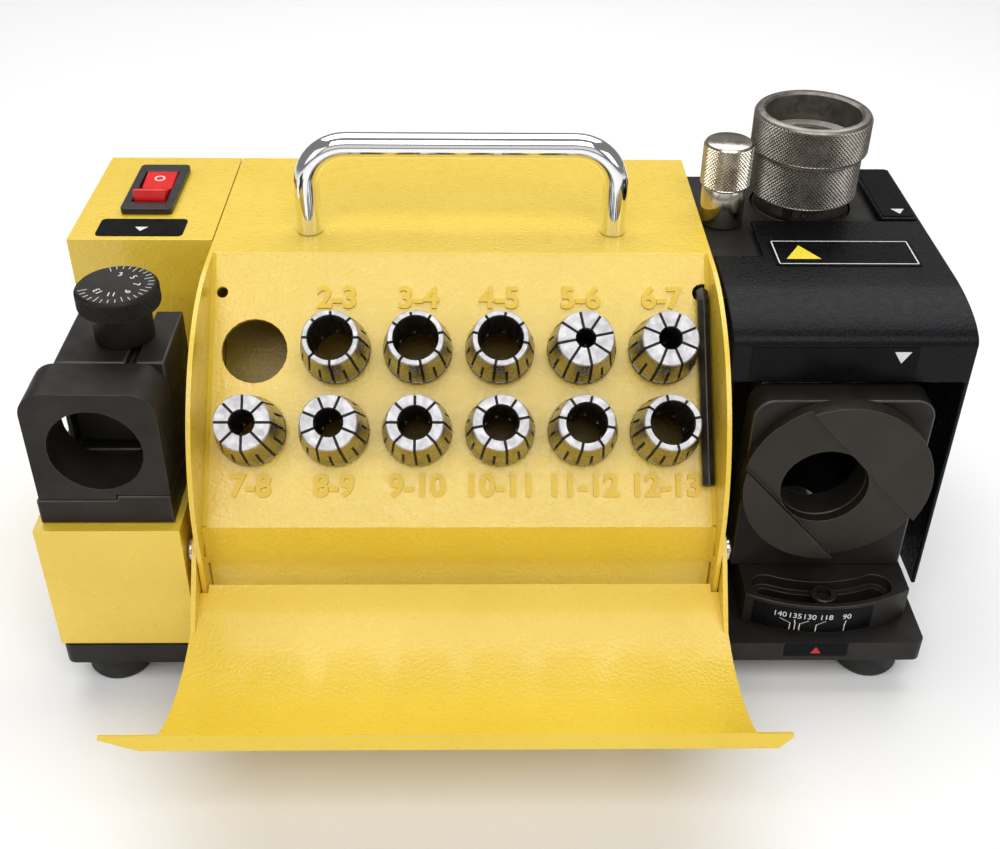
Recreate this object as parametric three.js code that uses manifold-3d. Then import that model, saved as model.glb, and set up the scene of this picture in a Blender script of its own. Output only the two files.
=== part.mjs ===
// Bench drill bit sharpener with a collet rack, a setting gauge and a grinding head.
// Millimetres, +X to the operator's right, +Y to the back, +Z up.
// The pieces are laid out with y = 0 at the front edge of the base plate and z = 0 at the bench.
// The last group moves them so that the origin is under the middle of the whole machine.
import * as THREE from 'three';
import { mergeVertices } from 'three/addons/utils/BufferGeometryUtils.js';
import Module from 'manifold-3d';

const wasm = await Module();
wasm.setup();

// ---- driving dimensions -------------------------------------------------------------------

const GAP = 0.3;
const SHEET = 1.4;

const base = { left: -123, right: 145, back: 139, bottom: 11.5, top: 19, corner: 3 };
const FLOOR = base.top + GAP;
const BODY_TOP = 119;
const BODY_BACK = 139;

const feet = { radius: 11, inset: 13, height: base.bottom - GAP };

const cover = { half: 77.5, cheekRadius: 59, cheekCentreY: 60, cheekCentreZ: 60 };
const rack = { faceY: 8.5, foldZ: 59.1, sheet: 1.5, endY: 68.1, pitch: 24.8, shiftX: -0.6 };
rack.half = cover.half - SHEET - GAP;
rack.rows = [53.6, 28.6];
rack.holeRadius = 10;
rack.keyX = 73.9;
rack.keyS = 72;

const collet = { faceTop: 18, faceRadius: 8.3, radius: 10.5, grooveRadius: 9.6, noseDepth: 5.5 };
collet.bores = {
  upper_2: 13, upper_3: 13, upper_4: 13, upper_5: 5.5, upper_6: 6.5,
  lower_1: 7.2, lower_2: 8.2, lower_3: 9.7, lower_4: 10.2, lower_5: 11.6, lower_6: 12.6,
};
const backing = { offset: 24, thickness: 1.2, fromS: 2, toS: 70 };
const hexKey = { flats: 3.5, bendRadius: 3, longArm: 60, shortArm: 17, lift: 2.5 };

const lid = {
  half: 79.2, inner: cover.cheekRadius + 0.6, sheet: SHEET, startDeg: 176.5, endDeg: 120.5, tongueDeg: 179,
  pivotY: 7, pivotZ: 52, openDeg: 120, lipHeight: 4, lipLeft: 94.9, lipRight: 89, earRadius: 5,
};
lid.tongueHalf = cover.half - SHEET - 2 * GAP;

const handle = { spacing: 96, radius: 4, bend: 13, y: 83, barZ: 148 };

const switchBox = { left: -123.2, right: -77.9, stepRight: -81, stepZ: 64.5, stepY: 0.5, faceY: 76.5 };
const rockerSwitch = { x: -101.9, y: 110.8, width: 16.6, length: 34.6, rise: 2, rockerWidth: 10.3 };
rockerSwitch.rockerLength = 22;
rockerSwitch.tiltDeg = 9;

const gauge = { left: -120.5, right: -82.8, front: 4, seam: 73.4, top: 109.5, depth: 16, corner: 7 };
gauge.boreX = -101.6;
gauge.boreZ = 90.5;
gauge.stepX = -98;
gauge.stepHeight = 1.6;
const dial = { x: -97, y: 35, radius: 11.9, neckRadius: 8.5, neckTop: 119.4, top: 126.5 };

const BORE_RADIUS = 13.4;
const motor = { y: 94, z: 61, radius: 33, wall: 3, left: -50, right: 44 };
const wheel = { left: 97, right: 123, radius: 38, bevelDeg: 31, hubRadius: 12 };

const head = { left: 78.2, right: 147.8, back: 136, top: 114, topBottom: 104, wall: 7.8, backWall: 3 };
head.frontY = 50;
const port = { x: 115.3, y: 115, outer: 16.4 };
const feedKnob = { x: 85.8, y: 101, radius: 8.2, neckRadius: 7.2, top: 142.3, knurl: 15 };
const guard = { left: 78.9, right: 150.8, front: 30, lowerZ: 96.5, top: 117, back: 95.4 };
// The hood's top rolls down into its front over a long, low curve.
guard.rollDepth = 28;
guard.rollHeight = 8;
guard.flange = 12.5;
guard.sideBottom = 16.5;
guard.notchX = 94.6;
guard.notchY = 71;

const seat = { x: 113.4, pivotY: 54.5, arc: 51, slotRadius: 44.5, slotHalfDeg: 23, top: 31, faceY: 23 };
seat.slotHalfWidth = 2.8;
seat.recessHalfWidth = 4.8;
seat.recessDepth = 4;
seat.plateTop = 94.8;
seat.plateLeft = 27.2;
seat.plateRight = 26.8;
seat.plateCorner = 6.3;
seat.axisZ = 67.4;
seat.bore = { x: -3.2, z: seat.axisZ - 1.8 };
seat.depth = 10;
seat.camRadius = 28.6;
seat.camFrontY = 17;
seat.channelDeg = -47.5;
seat.channelDepth = 2.4;

const chuck = { nutRadius: 19.3, knurlRadius: 17.8, ringRadius: 15.7, noseRadius: 13.1, nutTop: 147.2 };
chuck.ringBottom = head.top + GAP;
chuck.knurlBottom = 119;
chuck.nutBottom = 134.4;
chuck.noseBottom = 100;
chuck.neckTop = 137;

// ---- materials ----------------------------------------------------------------------------

function finish(color, roughness, metalness) {
  return () => new THREE.MeshStandardMaterial({ color, roughness, metalness });
}

const yellowPaint = finish(0xf2c61f, 0.45, 0.0);
const darkMetal = finish(0x3a3937, 0.5, 0.7);
const blackSheet = finish(0x111214, 0.45, 0.2);
const blackPlastic = finish(0x0c0c0d, 0.4, 0.0);
const redPlastic = finish(0xc8141a, 0.35, 0.0);
const chrome = finish(0xd8d9db, 0.08, 1.0);
const steel = finish(0xa9a7a2, 0.3, 1.0);
const knurledSteel = finish(0xbdb6a6, 0.35, 1.0);
const blackOxide = finish(0x2c2b2a, 0.45, 0.8);
const rubber = finish(0x121212, 0.85, 0.0);
const motorGrey = finish(0x6c6f73, 0.5, 0.6);
const abrasive = finish(0x8f7f66, 0.9, 0.0);
const boardGreen = finish(0x1f6b3a, 0.6, 0.0);

// ---- solids -------------------------------------------------------------------------------

function solid(geometry) {
  const bare = geometry.clone();
  bare.deleteAttribute('normal');
  bare.deleteAttribute('uv');
  const merged = mergeVertices(bare);
  return new wasm.Manifold(new wasm.Mesh({
    numProp: 3,
    vertProperties: new Float32Array(merged.attributes.position.array),
    triVerts: new Uint32Array(merged.index.array),
  }));
}

function toGeometry(body) {
  const mesh = body.getMesh();
  const geometry = new THREE.BufferGeometry();
  geometry.setAttribute('position', new THREE.BufferAttribute(new Float32Array(mesh.vertProperties), 3));
  geometry.setIndex(new THREE.BufferAttribute(new Uint32Array(mesh.triVerts), 1));
  geometry.computeVertexNormals();
  return geometry;
}

function join(first, ...others) {
  let body = solid(first);
  for (const other of others) body = body.add(solid(other));
  return toGeometry(body);
}

function cut(first, ...tools) {
  let body = solid(first);
  for (const tool of tools) body = body.subtract(solid(tool));
  return toGeometry(body);
}

function block(x0, x1, y0, y1, z0, z1) {
  const geometry = new THREE.BoxGeometry(x1 - x0, y1 - y0, z1 - z0);
  return geometry.translate((x0 + x1) / 2, (y0 + y1) / 2, (z0 + z1) / 2);
}

// A shape drawn in (x, y), raised from z0 to z1.
function slabZ(shape, z0, z1, curveSegments = 12) {
  const geometry = new THREE.ExtrudeGeometry(shape, { depth: z1 - z0, bevelEnabled: false, curveSegments });
  return geometry.translate(0, 0, z0);
}

// A shape drawn in (y, z), drawn out from x0 to x1.
function slabX(shape, x0, x1, curveSegments = 12) {
  const geometry = slabZ(shape, 0, x1 - x0, curveSegments);
  const basis = new THREE.Matrix4().makeBasis(
    new THREE.Vector3(0, 1, 0), new THREE.Vector3(0, 0, 1), new THREE.Vector3(1, 0, 0));
  return geometry.applyMatrix4(basis).translate(x0, 0, 0);
}

// A shape drawn in (x, z), drawn out from y0 back to y1.
function slabY(shape, y0, y1, curveSegments = 12) {
  const geometry = slabZ(shape, 0, y1 - y0, curveSegments);
  const basis = new THREE.Matrix4().makeBasis(
    new THREE.Vector3(1, 0, 0), new THREE.Vector3(0, 0, 1), new THREE.Vector3(0, -1, 0));
  return geometry.applyMatrix4(basis).translate(0, y1, 0);
}

function polygon(points) {
  return new THREE.Shape(points.map(([u, v]) => new THREE.Vector2(u, v)));
}

// A closed profile of [radius, height] points turned about the vertical axis.
function turned(profile, segments = 20) {
  const points = profile.map(([radius, height]) => new THREE.Vector2(radius, height));
  return new THREE.LatheGeometry(points, segments).rotateX(Math.PI / 2);
}

function rod(radius, z0, z1, segments = 16) {
  const geometry = new THREE.CylinderGeometry(radius, radius, z1 - z0, segments);
  return geometry.rotateX(Math.PI / 2).translate(0, 0, (z0 + z1) / 2);
}

const alongX = (geometry) => geometry.rotateY(Math.PI / 2);
const alongY = (geometry) => geometry.rotateX(-Math.PI / 2);

function roundedRectangle(x0, x1, y0, y1, radius) {
  const shape = new THREE.Shape();
  shape.moveTo(x0 + radius, y0);
  shape.lineTo(x1 - radius, y0);
  shape.absarc(x1 - radius, y0 + radius, radius, -Math.PI / 2, 0);
  shape.lineTo(x1, y1 - radius);
  shape.absarc(x1 - radius, y1 - radius, radius, 0, Math.PI / 2);
  shape.lineTo(x0 + radius, y1);
  shape.absarc(x0 + radius, y1 - radius, radius, Math.PI / 2, Math.PI);
  shape.lineTo(x0, y0 + radius);
  shape.absarc(x0 + radius, y0 + radius, radius, Math.PI, Math.PI * 1.5);
  return shape;
}

const machine = new THREE.Group();

function place(name, geometry, material, parent = machine) {
  const mesh = new THREE.Mesh(geometry, material());
  mesh.name = name;
  parent.add(mesh);
  return mesh;
}

// ---- base plate and feet ------------------------------------------------------------------

function addBase() {
  const outline = roundedRectangle(base.left, base.right, 0, base.back, base.corner);
  const clampHole = rod(2.8, 5, 25).translate(seat.x, seat.pivotY - seat.slotRadius, 0);
  const pivotHole = rod(4.3, 5, 25).translate(seat.x, seat.pivotY, 0);
  place('base_plate', cut(slabZ(outline, base.bottom, base.top, 6), clampHole, pivotHole), darkMetal);
}

function addFeet() {
  const profile = [
    [0, 3], [5, 3], [5, 0], [8.5, 0], [9.5, 1], [feet.radius, feet.height - 1],
    [feet.radius - 0.6, feet.height], [0, feet.height],
  ];
  const xs = { left: base.left + feet.inset, right: base.right - feet.inset };
  const ys = { front: feet.inset, rear: base.back - feet.inset };
  for (const [depthName, y] of Object.entries(ys)) {
    for (const [sideName, x] of Object.entries(xs)) {
      const mesh = place(`foot_${depthName}_${sideName}`, turned(profile, 16), rubber);
      mesh.position.set(x, y, 0);
    }
  }
}

// ---- centre cover, collet rack, collets and key -------------------------------------------

function cheekOutline() {
  const shape = new THREE.Shape();
  const frontY = cover.cheekCentreY - cover.cheekRadius;
  shape.moveTo(frontY, FLOOR);
  shape.lineTo(BODY_BACK, FLOOR);
  shape.lineTo(BODY_BACK, BODY_TOP);
  shape.lineTo(cover.cheekCentreY, BODY_TOP);
  shape.absarc(cover.cheekCentreY, cover.cheekCentreZ, cover.cheekRadius, Math.PI / 2, Math.PI);
  return shape;
}

function addMotorCover() {
  const outer = slabX(cheekOutline(), -cover.half, cover.half, 14);
  const inside = cover.half - SHEET;
  const topFrontY = rack.endY + GAP;
  const hollow = slabX(polygon([
    [-5, 5], [BODY_BACK - SHEET, 5], [BODY_BACK - SHEET, BODY_TOP - SHEET],
    [topFrontY, BODY_TOP - SHEET], [topFrontY, BODY_TOP + 5], [-5, BODY_TOP + 5],
  ]), -inside, inside);
  const spindleHole = alongX(rod(14, 70, 90, 20)).translate(0, motor.y, motor.z);
  const hingeHole = alongX(rod(2.4, -90, 90, 16)).translate(0, lid.pivotY, lid.pivotZ);
  const screwHoles = [-1, 1].map((side) => rod(2.4, 110, 125, 10)
    .translate(side * handle.spacing / 2, handle.y, 0));
  const vents = [-45, -27, -9, 9, 27, 45].map((x) => block(x - 2.5, x + 2.5, 130, 145, 78, 102));
  place('motor_cover', cut(outer, hollow, spindleHole, hingeHole, ...screwHoles, ...vents), yellowPaint);
}

// Moves a solid from the rack's own axes (x across, y up the slope, z off the face) into the machine.
function ontoRack(geometry, x, s) {
  return geometry.rotateX(Math.PI / 4).translate(
    x, rack.faceY + s * Math.SQRT1_2, rack.foldZ + s * Math.SQRT1_2);
}

function addColletRack() {
  const slopeZ = rack.foldZ - rack.faceY;
  const inset = rack.sheet * Math.SQRT2;
  const innerY = rack.faceY + rack.sheet;
  const panel = slabX(polygon([
    [rack.faceY, FLOOR], [innerY, FLOOR], [innerY, innerY + slopeZ - inset],
    [rack.endY, rack.endY + slopeZ - inset], [rack.endY, rack.endY + slopeZ], [rack.faceY, rack.foldZ],
  ]), -rack.half, rack.half);
  const holes = [];
  for (const s of rack.rows) {
    for (let column = 0; column < 6; column += 1) {
      const x = rack.shiftX + (column - 2.5) * rack.pitch;
      holes.push(ontoRack(rod(rack.holeRadius, -8, 8, 24), x, s));
    }
  }
  holes.push(ontoRack(rod(1.8, -8, 8, 12), -rack.keyX + 1, rack.keyS));
  const keyNotch = join(rod(2.9, -8, 8, 12), block(0, 5, -2.9, 2.9, -8, 8));
  holes.push(ontoRack(keyNotch, rack.keyX, rack.keyS));
  place('collet_rack', cut(panel, ...holes), yellowPaint);
}

// Each collet stands with its short nose in the hole, and its long taper and flat end face up.
function colletProfile(bore) {
  const c = collet;
  const r = bore / 2;
  return [
    [r, c.faceTop], [r, -c.noseDepth], [7.2, -c.noseDepth], [9.6, 0.3], [c.radius, 0.3], [c.radius, 2.1],
    [c.grooveRadius, 2.4], [c.grooveRadius, 3.6], [c.radius, 3.9], [c.faceRadius, c.faceTop], [r, c.faceTop],
  ];
}

function addCollets() {
  const colletSides = 16;
  for (const [name, bore] of Object.entries(collet.bores)) {
    const [rowName, column] = name.split('_');
    const x = rack.shiftX + (Number(column) - 3.5) * rack.pitch;
    const s = rack.rows[rowName === 'upper' ? 0 : 1];
    const body = turned(colletProfile(bore), colletSides).rotateZ(Math.PI / colletSides);
    place(`collet_${name}`, ontoRack(body, x, s), steel);
  }
}

// A sheet behind the rack keeps drills and grit out of the motor.
function addRackBacking() {
  const b = backing;
  const sheet = new THREE.BoxGeometry(2 * rack.half, b.toS - b.fromS, b.thickness);
  const middle = (b.fromS + b.toS) / 2;
  place('rack_backing', ontoRack(sheet.translate(0, 0, -b.offset), 0, middle), yellowPaint);
}

function hexKeyPath() {
  const path = new THREE.CurvePath();
  const lift = hexKey.lift;
  const r = hexKey.bendRadius;
  const foot = new THREE.Vector3(0, 0, lift - hexKey.shortArm);
  const bendStart = new THREE.Vector3(0, 0, lift - r);
  const corner = new THREE.Vector3(0, 0, lift);
  const bendEnd = new THREE.Vector3(0, -r, lift);
  path.add(new THREE.LineCurve3(foot, bendStart));
  path.add(new THREE.QuadraticBezierCurve3(bendStart, corner, bendEnd));
  path.add(new THREE.LineCurve3(bendEnd, new THREE.Vector3(0, -hexKey.longArm, lift)));
  return path;
}

function addHexKey() {
  const corner = hexKey.flats / Math.sqrt(3);
  const corners = Array.from({ length: 6 }, (_, i) => [
    corner * Math.cos(i * Math.PI / 3), corner * Math.sin(i * Math.PI / 3),
  ]);
  const rodShape = new THREE.ExtrudeGeometry(polygon(corners), {
    extrudePath: hexKeyPath(), steps: 24, bevelEnabled: false,
  });
  place('hex_key', ontoRack(rodShape, rack.keyX, rack.keyS), blackOxide);
}

// ---- rack cover, drawn shut and swung open about its two screws ---------------------------

function lidArc(radius, fromDeg, toDeg) {
  const points = [];
  const count = 12;
  for (let i = 0; i <= count; i += 1) {
    const angle = THREE.MathUtils.degToRad(fromDeg + (toDeg - fromDeg) * i / count);
    const y = cover.cheekCentreY + radius * Math.cos(angle);
    points.push([y, cover.cheekCentreZ + radius * Math.sin(angle)]);
  }
  return points;
}

function lidSheet() {
  const outer = lid.inner + lid.sheet;
  const band = (fromDeg, toDeg, half) => {
    const section = lidArc(lid.inner, fromDeg, toDeg).concat(lidArc(outer, toDeg, fromDeg));
    return slabX(polygon(section), -half, half);
  };
  const tongue = band(lid.tongueDeg, lid.startDeg - 1, lid.tongueHalf);
  return join(band(lid.startDeg, lid.endDeg, lid.half), tongue);
}

function lidLip() {
  const face = polygon([
    [-lid.lipLeft, 0], [lid.lipRight, 0], [lid.lipRight, 1], [lid.lipRight - 4, lid.lipHeight],
    [11 - lid.lipLeft, lid.lipHeight], [-lid.lipLeft, 1],
  ]);
  const angle = THREE.MathUtils.degToRad(lid.endDeg);
  const foot = lid.inner + 0.2;
  const y = cover.cheekCentreY + foot * Math.cos(angle);
  const z = cover.cheekCentreZ + foot * Math.sin(angle);
  return slabY(face, -lid.sheet, 0).rotateX(angle - Math.PI / 2).translate(0, y, z);
}

function lidEar(side) {
  const arc = lidArc(lid.inner + lid.sheet / 2, lid.startDeg, lid.startDeg - 14);
  const shape = new THREE.Shape();
  shape.moveTo(arc[0][0], arc[0][1]);
  shape.absarc(lid.pivotY, lid.pivotZ, lid.earRadius, Math.PI, Math.PI * 2);
  shape.lineTo(arc.at(-1)[0], arc.at(-1)[1]);
  for (const [y, z] of arc.slice(1, -1).reverse()) shape.lineTo(y, z);
  const earInner = cover.half + GAP;
  const x0 = side < 0 ? -lid.half : earInner;
  const x1 = side < 0 ? -earInner : lid.half;
  return slabX(shape, x0, x1, 6);
}

function addRackCover() {
  const whole = join(lidSheet(), lidLip(), lidEar(-1), lidEar(1));
  const screwHole = alongX(rod(2.4, -90, 90, 16)).translate(0, lid.pivotY, lid.pivotZ);
  const geometry = cut(whole, screwHole).translate(0, -lid.pivotY, -lid.pivotZ);
  const swing = new THREE.Group();
  swing.position.set(0, lid.pivotY, lid.pivotZ);
  swing.rotation.x = THREE.MathUtils.degToRad(lid.openDeg);
  machine.add(swing);
  place('rack_cover', geometry, yellowPaint, swing);
  for (const [name, side] of [['left', -1], ['right', 1]]) {
    const tip = cover.half - SHEET;
    const head = lid.half + GAP;
    const screw = turned([[0, tip], [2, tip], [2, head], [3.8, head], [3.8, head + 1], [3, head + 1.5],
      [0, head + 1.5]], 12);
    const mesh = place(`hinge_screw_${name}`, screw.rotateY(side * Math.PI / 2), steel);
    mesh.position.set(0, lid.pivotY, lid.pivotZ);
  }
}

// ---- carrying handle ----------------------------------------------------------------------

function handlePath() {
  const x = handle.spacing / 2;
  const foot = BODY_TOP + GAP;
  const bend = handle.bend;
  const top = handle.barZ;
  const at = (px, pz) => new THREE.Vector3(px, 0, pz);
  const path = new THREE.CurvePath();
  path.add(new THREE.LineCurve3(at(-x, foot), at(-x, top - bend)));
  path.add(new THREE.QuadraticBezierCurve3(at(-x, top - bend), at(-x, top), at(bend - x, top)));
  path.add(new THREE.LineCurve3(at(bend - x, top), at(x - bend, top)));
  path.add(new THREE.QuadraticBezierCurve3(at(x - bend, top), at(x, top), at(x, top - bend)));
  path.add(new THREE.LineCurve3(at(x, top - bend), at(x, foot)));
  return path;
}

function addHandle() {
  const section = new THREE.Shape().absarc(0, 0, handle.radius, 0, Math.PI * 2);
  const bar = new THREE.ExtrudeGeometry(section, {
    extrudePath: handlePath(), steps: 36, curveSegments: 5, bevelEnabled: false,
  });
  const taps = [-1, 1].map((side) => rod(2.3, 110, 130, 10).translate(side * handle.spacing / 2, 0, 0));
  place('carry_handle', cut(bar, ...taps).translate(0, handle.y, 0), chrome);
  for (const [name, side] of [['left', -1], ['right', 1]]) {
    const under = BODY_TOP - SHEET - GAP;
    const screw = turned([[0, under - 3], [4, under - 3], [4, under], [2, under], [2, 128], [0, 128]], 10);
    const mesh = place(`handle_screw_${name}`, screw, steel);
    mesh.position.set(side * handle.spacing / 2, handle.y, 0);
  }
}

// ---- switch box, switch and rear fittings -------------------------------------------------

const rear = { gland: { x: -108, z: 40 }, fuse: { x: -92, z: 62 } };

function addSwitchBox() {
  const s = switchBox;
  const tower = block(s.left, s.right, s.faceY, BODY_BACK, FLOOR, BODY_TOP);
  const step = block(s.left, s.stepRight, s.stepY, s.faceY + 5, FLOOR, s.stepZ);
  const towerHollow = block(s.left + SHEET, s.right - SHEET, s.faceY + SHEET, BODY_BACK - SHEET, 5,
    BODY_TOP - SHEET);
  const stepHollow = block(s.left + SHEET, s.stepRight - SHEET, s.stepY + SHEET, s.faceY + 10, 5,
    s.stepZ - SHEET);
  const r = rockerSwitch;
  const switchHole = block(r.x - r.width / 2 + 1.2, r.x + r.width / 2 - 1.2, r.y - r.length / 2 + 1.2,
    r.y + r.length / 2 - 1.2, 110, 125);
  const glandHole = alongY(rod(6.6, 130, 145)).translate(rear.gland.x, 0, rear.gland.z);
  const fuseHole = alongY(rod(6.6, 130, 145)).translate(rear.fuse.x, 0, rear.fuse.z);
  const shell = cut(join(tower, step), towerHollow, stepHollow, switchHole, glandHole, fuseHole);
  place('switch_box', shell, yellowPaint);
}

function addSwitch() {
  const r = rockerSwitch;
  const halfWidth = r.width / 2;
  const halfLength = r.length / 2;
  const rim = slabZ(roundedRectangle(-halfWidth, halfWidth, -halfLength, halfLength, 1.5),
    BODY_TOP + GAP, BODY_TOP + GAP + r.rise, 4);
  const well = block(-halfWidth + 1.5, halfWidth - 1.5, -halfLength + 1.5, halfLength - 1.5, 100,
    BODY_TOP + GAP + 1);
  const pocket = block(-r.rockerWidth / 2 - 0.4, r.rockerWidth / 2 + 0.4, -r.rockerLength / 2 - 0.8,
    r.rockerLength / 2 + 0.8, 111.5, 130);
  const bezel = cut(join(rim, well), pocket);
  place('switch_bezel', bezel.translate(r.x, r.y, 0), blackPlastic);

  const half = r.rockerLength / 2;
  const ends = 3.2;
  const profile = polygon([
    [-half, -1], [-4, -5], [4, -5], [half, -1], [half, ends], [0, 0.6], [-half, ends],
  ]);
  const rocker = slabX(profile, -r.rockerWidth / 2, r.rockerWidth / 2);
  const tilt = new THREE.Group();
  tilt.position.set(r.x, r.y, BODY_TOP + 1);
  tilt.rotation.x = -THREE.MathUtils.degToRad(r.tiltDeg);
  machine.add(tilt);
  place('switch_rocker', rocker, redPlastic, tilt);
}

function addRearFittings() {
  const wall = BODY_BACK;
  const gland = turned([
    [3.6, wall - 8], [6.2, wall - 8], [6.2, wall + GAP], [9, wall + GAP], [9, wall + 5], [7, wall + 6],
    [6.2, wall + 12], [3.6, wall + 12], [3.6, wall - 8],
  ], 16);
  place('cord_gland', alongY(gland).translate(rear.gland.x, 0, rear.gland.z), blackPlastic);
  const fuse = turned([
    [0, wall - 18], [5.4, wall - 18], [6.2, wall - 4], [6.2, wall + GAP], [8, wall + GAP], [8, wall + 2.5],
    [5.5, wall + 3], [5.2, wall + 9], [0, wall + 9],
  ], 16);
  place('fuse_holder', alongY(fuse).translate(rear.fuse.x, 0, rear.fuse.z), blackPlastic);
  const board = block(-118, -84, 88, 130, 24, 26);
  const sink = block(-114, -104, 92, 126, 25, 38);
  const reservoir = rod(8, 25, 44, 20).translate(-94, 108, 0);
  const posts = [[-115, 91], [-87, 91], [-115, 127], [-87, 127]].map(([x, y]) =>
    rod(2, FLOOR, 25, 10).translate(x, y, 0));
  place('rectifier_board', join(board, sink, reservoir, ...posts), boardGreen);
}

// ---- motor, spindle and wheel -------------------------------------------------------------

function addAboutSpindle(name, profile, material, segments = 20) {
  const mesh = place(name, alongX(turned(profile, segments)), material);
  mesh.position.set(0, motor.y, motor.z);
}

function ringProfile(inner, outer, from, to) {
  return [[inner, from], [outer, from], [outer, to], [inner, to], [inner, from]];
}

function addMotor() {
  const m = motor;
  addAboutSpindle('motor_can', ringProfile(m.radius - m.wall, m.radius, m.left, m.right), motorGrey, 28);
  addAboutSpindle('motor_end_left', [
    [11.3, m.left - 10], [15, m.left - 10], [15, m.left - 4], [m.radius, m.left - 4],
    [m.radius, m.left - GAP], [6, m.left - GAP], [6, m.left - 1], [11.3, m.left - 1], [11.3, m.left - 10],
  ], motorGrey);
  addAboutSpindle('motor_end_right', [
    [6, m.right + GAP], [m.radius, m.right + GAP], [m.radius, m.right + 4], [15, m.right + 4],
    [15, m.right + 10], [11.3, m.right + 10], [11.3, m.right + 1], [6, m.right + 1], [6, m.right + GAP],
  ], motorGrey);
  addAboutSpindle('bearing_left', ringProfile(5.3, 11, m.left - 9.5, m.left - 1.5), steel, 20);
  addAboutSpindle('bearing_right', ringProfile(5.3, 11, m.right + 1.5, m.right + 9.5), steel, 20);
  addAboutSpindle('rotor', [
    [0, m.left - 12], [5, m.left - 12], [5, -38], [18, -38], [18, -30], [27, -30], [27, 26], [18, 26],
    [18, 34], [5, 34], [5, wheel.right + 9], [0, wheel.right + 9],
  ], steel, 20);
  const saddle = block(-42, 36, motor.y - 24, motor.y + 24, FLOOR, 42);
  const hollow = alongX(rod(motor.radius + 1, -60, 60, 28)).translate(0, motor.y, motor.z);
  const window = block(-28, 22, motor.y - 30, motor.y + 30, FLOOR + 4, 60);
  place('motor_cradle', cut(saddle, hollow, window), darkMetal);
}

function addWheel() {
  const w = wheel;
  const bevelStart = w.left + 8;
  const smallRadius = w.radius - (w.right - bevelStart) * Math.tan(THREE.MathUtils.degToRad(w.bevelDeg));
  addAboutSpindle('grinding_wheel', [
    [5.3, w.left], [w.radius, w.left], [w.radius, bevelStart], [smallRadius, w.right],
    [smallRadius - 7, w.right], [smallRadius - 9, w.right - 10], [5.3, w.right - 10], [5.3, w.left],
  ], abrasive, 28);
  addAboutSpindle('wheel_collar', ringProfile(5.3, w.hubRadius, w.left - 6, w.left - GAP), steel, 20);
  const nut = cut(rod(9, w.right - 10 + GAP, w.right - 1, 6), rod(5.4, 90, 140, 16));
  const mesh = place('wheel_nut', alongX(nut), steel);
  mesh.position.set(0, motor.y, motor.z);
}

// ---- grinding head: housing, guard, relief port, feed knob --------------------------------

function addHeadHousing() {
  const h = head;
  const wall = block(h.left, h.left + h.wall, h.frontY, h.back, FLOOR, h.top);
  const rail = block(h.right - h.wall, h.right, h.frontY, h.back, FLOOR, guardScrews.z + 7);
  const top = block(h.left, h.right, guard.notchY - 6, h.back, h.topBottom, h.top);
  const back = block(h.left, h.right, h.back - h.backWall, h.back, FLOOR, h.top);
  const spindleHole = alongX(rod(14, 70, 90, 20)).translate(0, motor.y, motor.z);
  const portHole = rod(port.outer + 0.6, 90, 130, 24).translate(port.x, port.y, 0);
  const feedHole = rod(3.3, 90, 130, 16).translate(feedKnob.x, feedKnob.y, 0);
  const screwHoles = guardScrews.ys.map((y) => alongX(rod(2.3, 130, 160, 12)).translate(0, y, guardScrews.z));
  const casting = cut(join(wall, top, back, rail), spindleHole, portHole, feedHole, ...screwHoles);
  place('head_housing', casting, darkMetal);
}

function rollFront(shape, inset) {
  const g = guard;
  const y = g.front + g.rollDepth;
  const z = g.top - g.rollHeight;
  shape.absellipse(y, z, g.rollDepth - inset, g.rollHeight - inset, Math.PI / 2, Math.PI);
}

function guardSection(inset) {
  const g = guard;
  const shape = new THREE.Shape();
  shape.moveTo(g.front + inset, g.lowerZ - (inset > 0 ? 5 : 0));
  shape.lineTo(g.back + 60, g.lowerZ - (inset > 0 ? 5 : 0));
  shape.lineTo(g.back + 60, g.top - inset);
  shape.lineTo(g.front + g.rollDepth, g.top - inset);
  rollFront(shape, inset);
  return shape;
}

function guardSide() {
  const g = guard;
  const shape = new THREE.Shape();
  shape.moveTo(g.front, g.sideBottom);
  shape.lineTo(head.back, g.sideBottom);
  shape.lineTo(head.back, g.top);
  shape.lineTo(g.front + g.rollDepth, g.top);
  rollFront(shape, 0);
  const flange = block(g.right - g.flange, g.right - 0.2, g.back + 2, head.back, g.top - SHEET, g.top);
  return join(slabX(shape, g.right - SHEET, g.right, 12), flange);
}

// The side panel drops over two loosened screws, so each screw has a slot open at the bottom.
const guardScrews = { z: 30, ys: [60, 126], slotHalf: 2.4 };

function addGuard() {
  const g = guard;
  const hood = slabX(guardSection(0), g.left, g.right - 0.2, 12);
  const hollow = slabX(guardSection(SHEET), g.left - 5, g.right + 5, 12);
  const behind = block(g.left - 5, g.right + 5, g.back, g.back + 80, 80, 140);
  const notch = block(g.left - 5, g.notchX, g.notchY, g.back + 80, 80, 140);
  const slots = guardScrews.ys.map((y) => join(
    alongX(rod(guardScrews.slotHalf, 140, 155, 12)).translate(0, y, guardScrews.z),
    block(140, 155, y - guardScrews.slotHalf, y + guardScrews.slotHalf, g.sideBottom - 5, guardScrews.z)));
  const shell = join(cut(hood, hollow, behind, notch), guardSide());
  place('guard_cover', cut(shell, ...slots), blackSheet);
  guardScrews.ys.forEach((y, index) => {
    const under = g.right + GAP;
    const screw = turned([[0, under - 10], [2, under - 10], [2, under], [3.8, under], [3.4, under + 2],
      [0, under + 2.2]], 12);
    const mesh = place(index === 0 ? 'guard_screw_front' : 'guard_screw_rear', alongX(screw), steel);
    mesh.position.set(0, y, guardScrews.z);
  });
}

function addReliefPort() {
  const bush = turned(ringProfile(BORE_RADIUS, port.outer, head.topBottom - 2, head.top), 24);
  place('relief_port', bush.translate(port.x, port.y, 0), steel);
}

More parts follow.
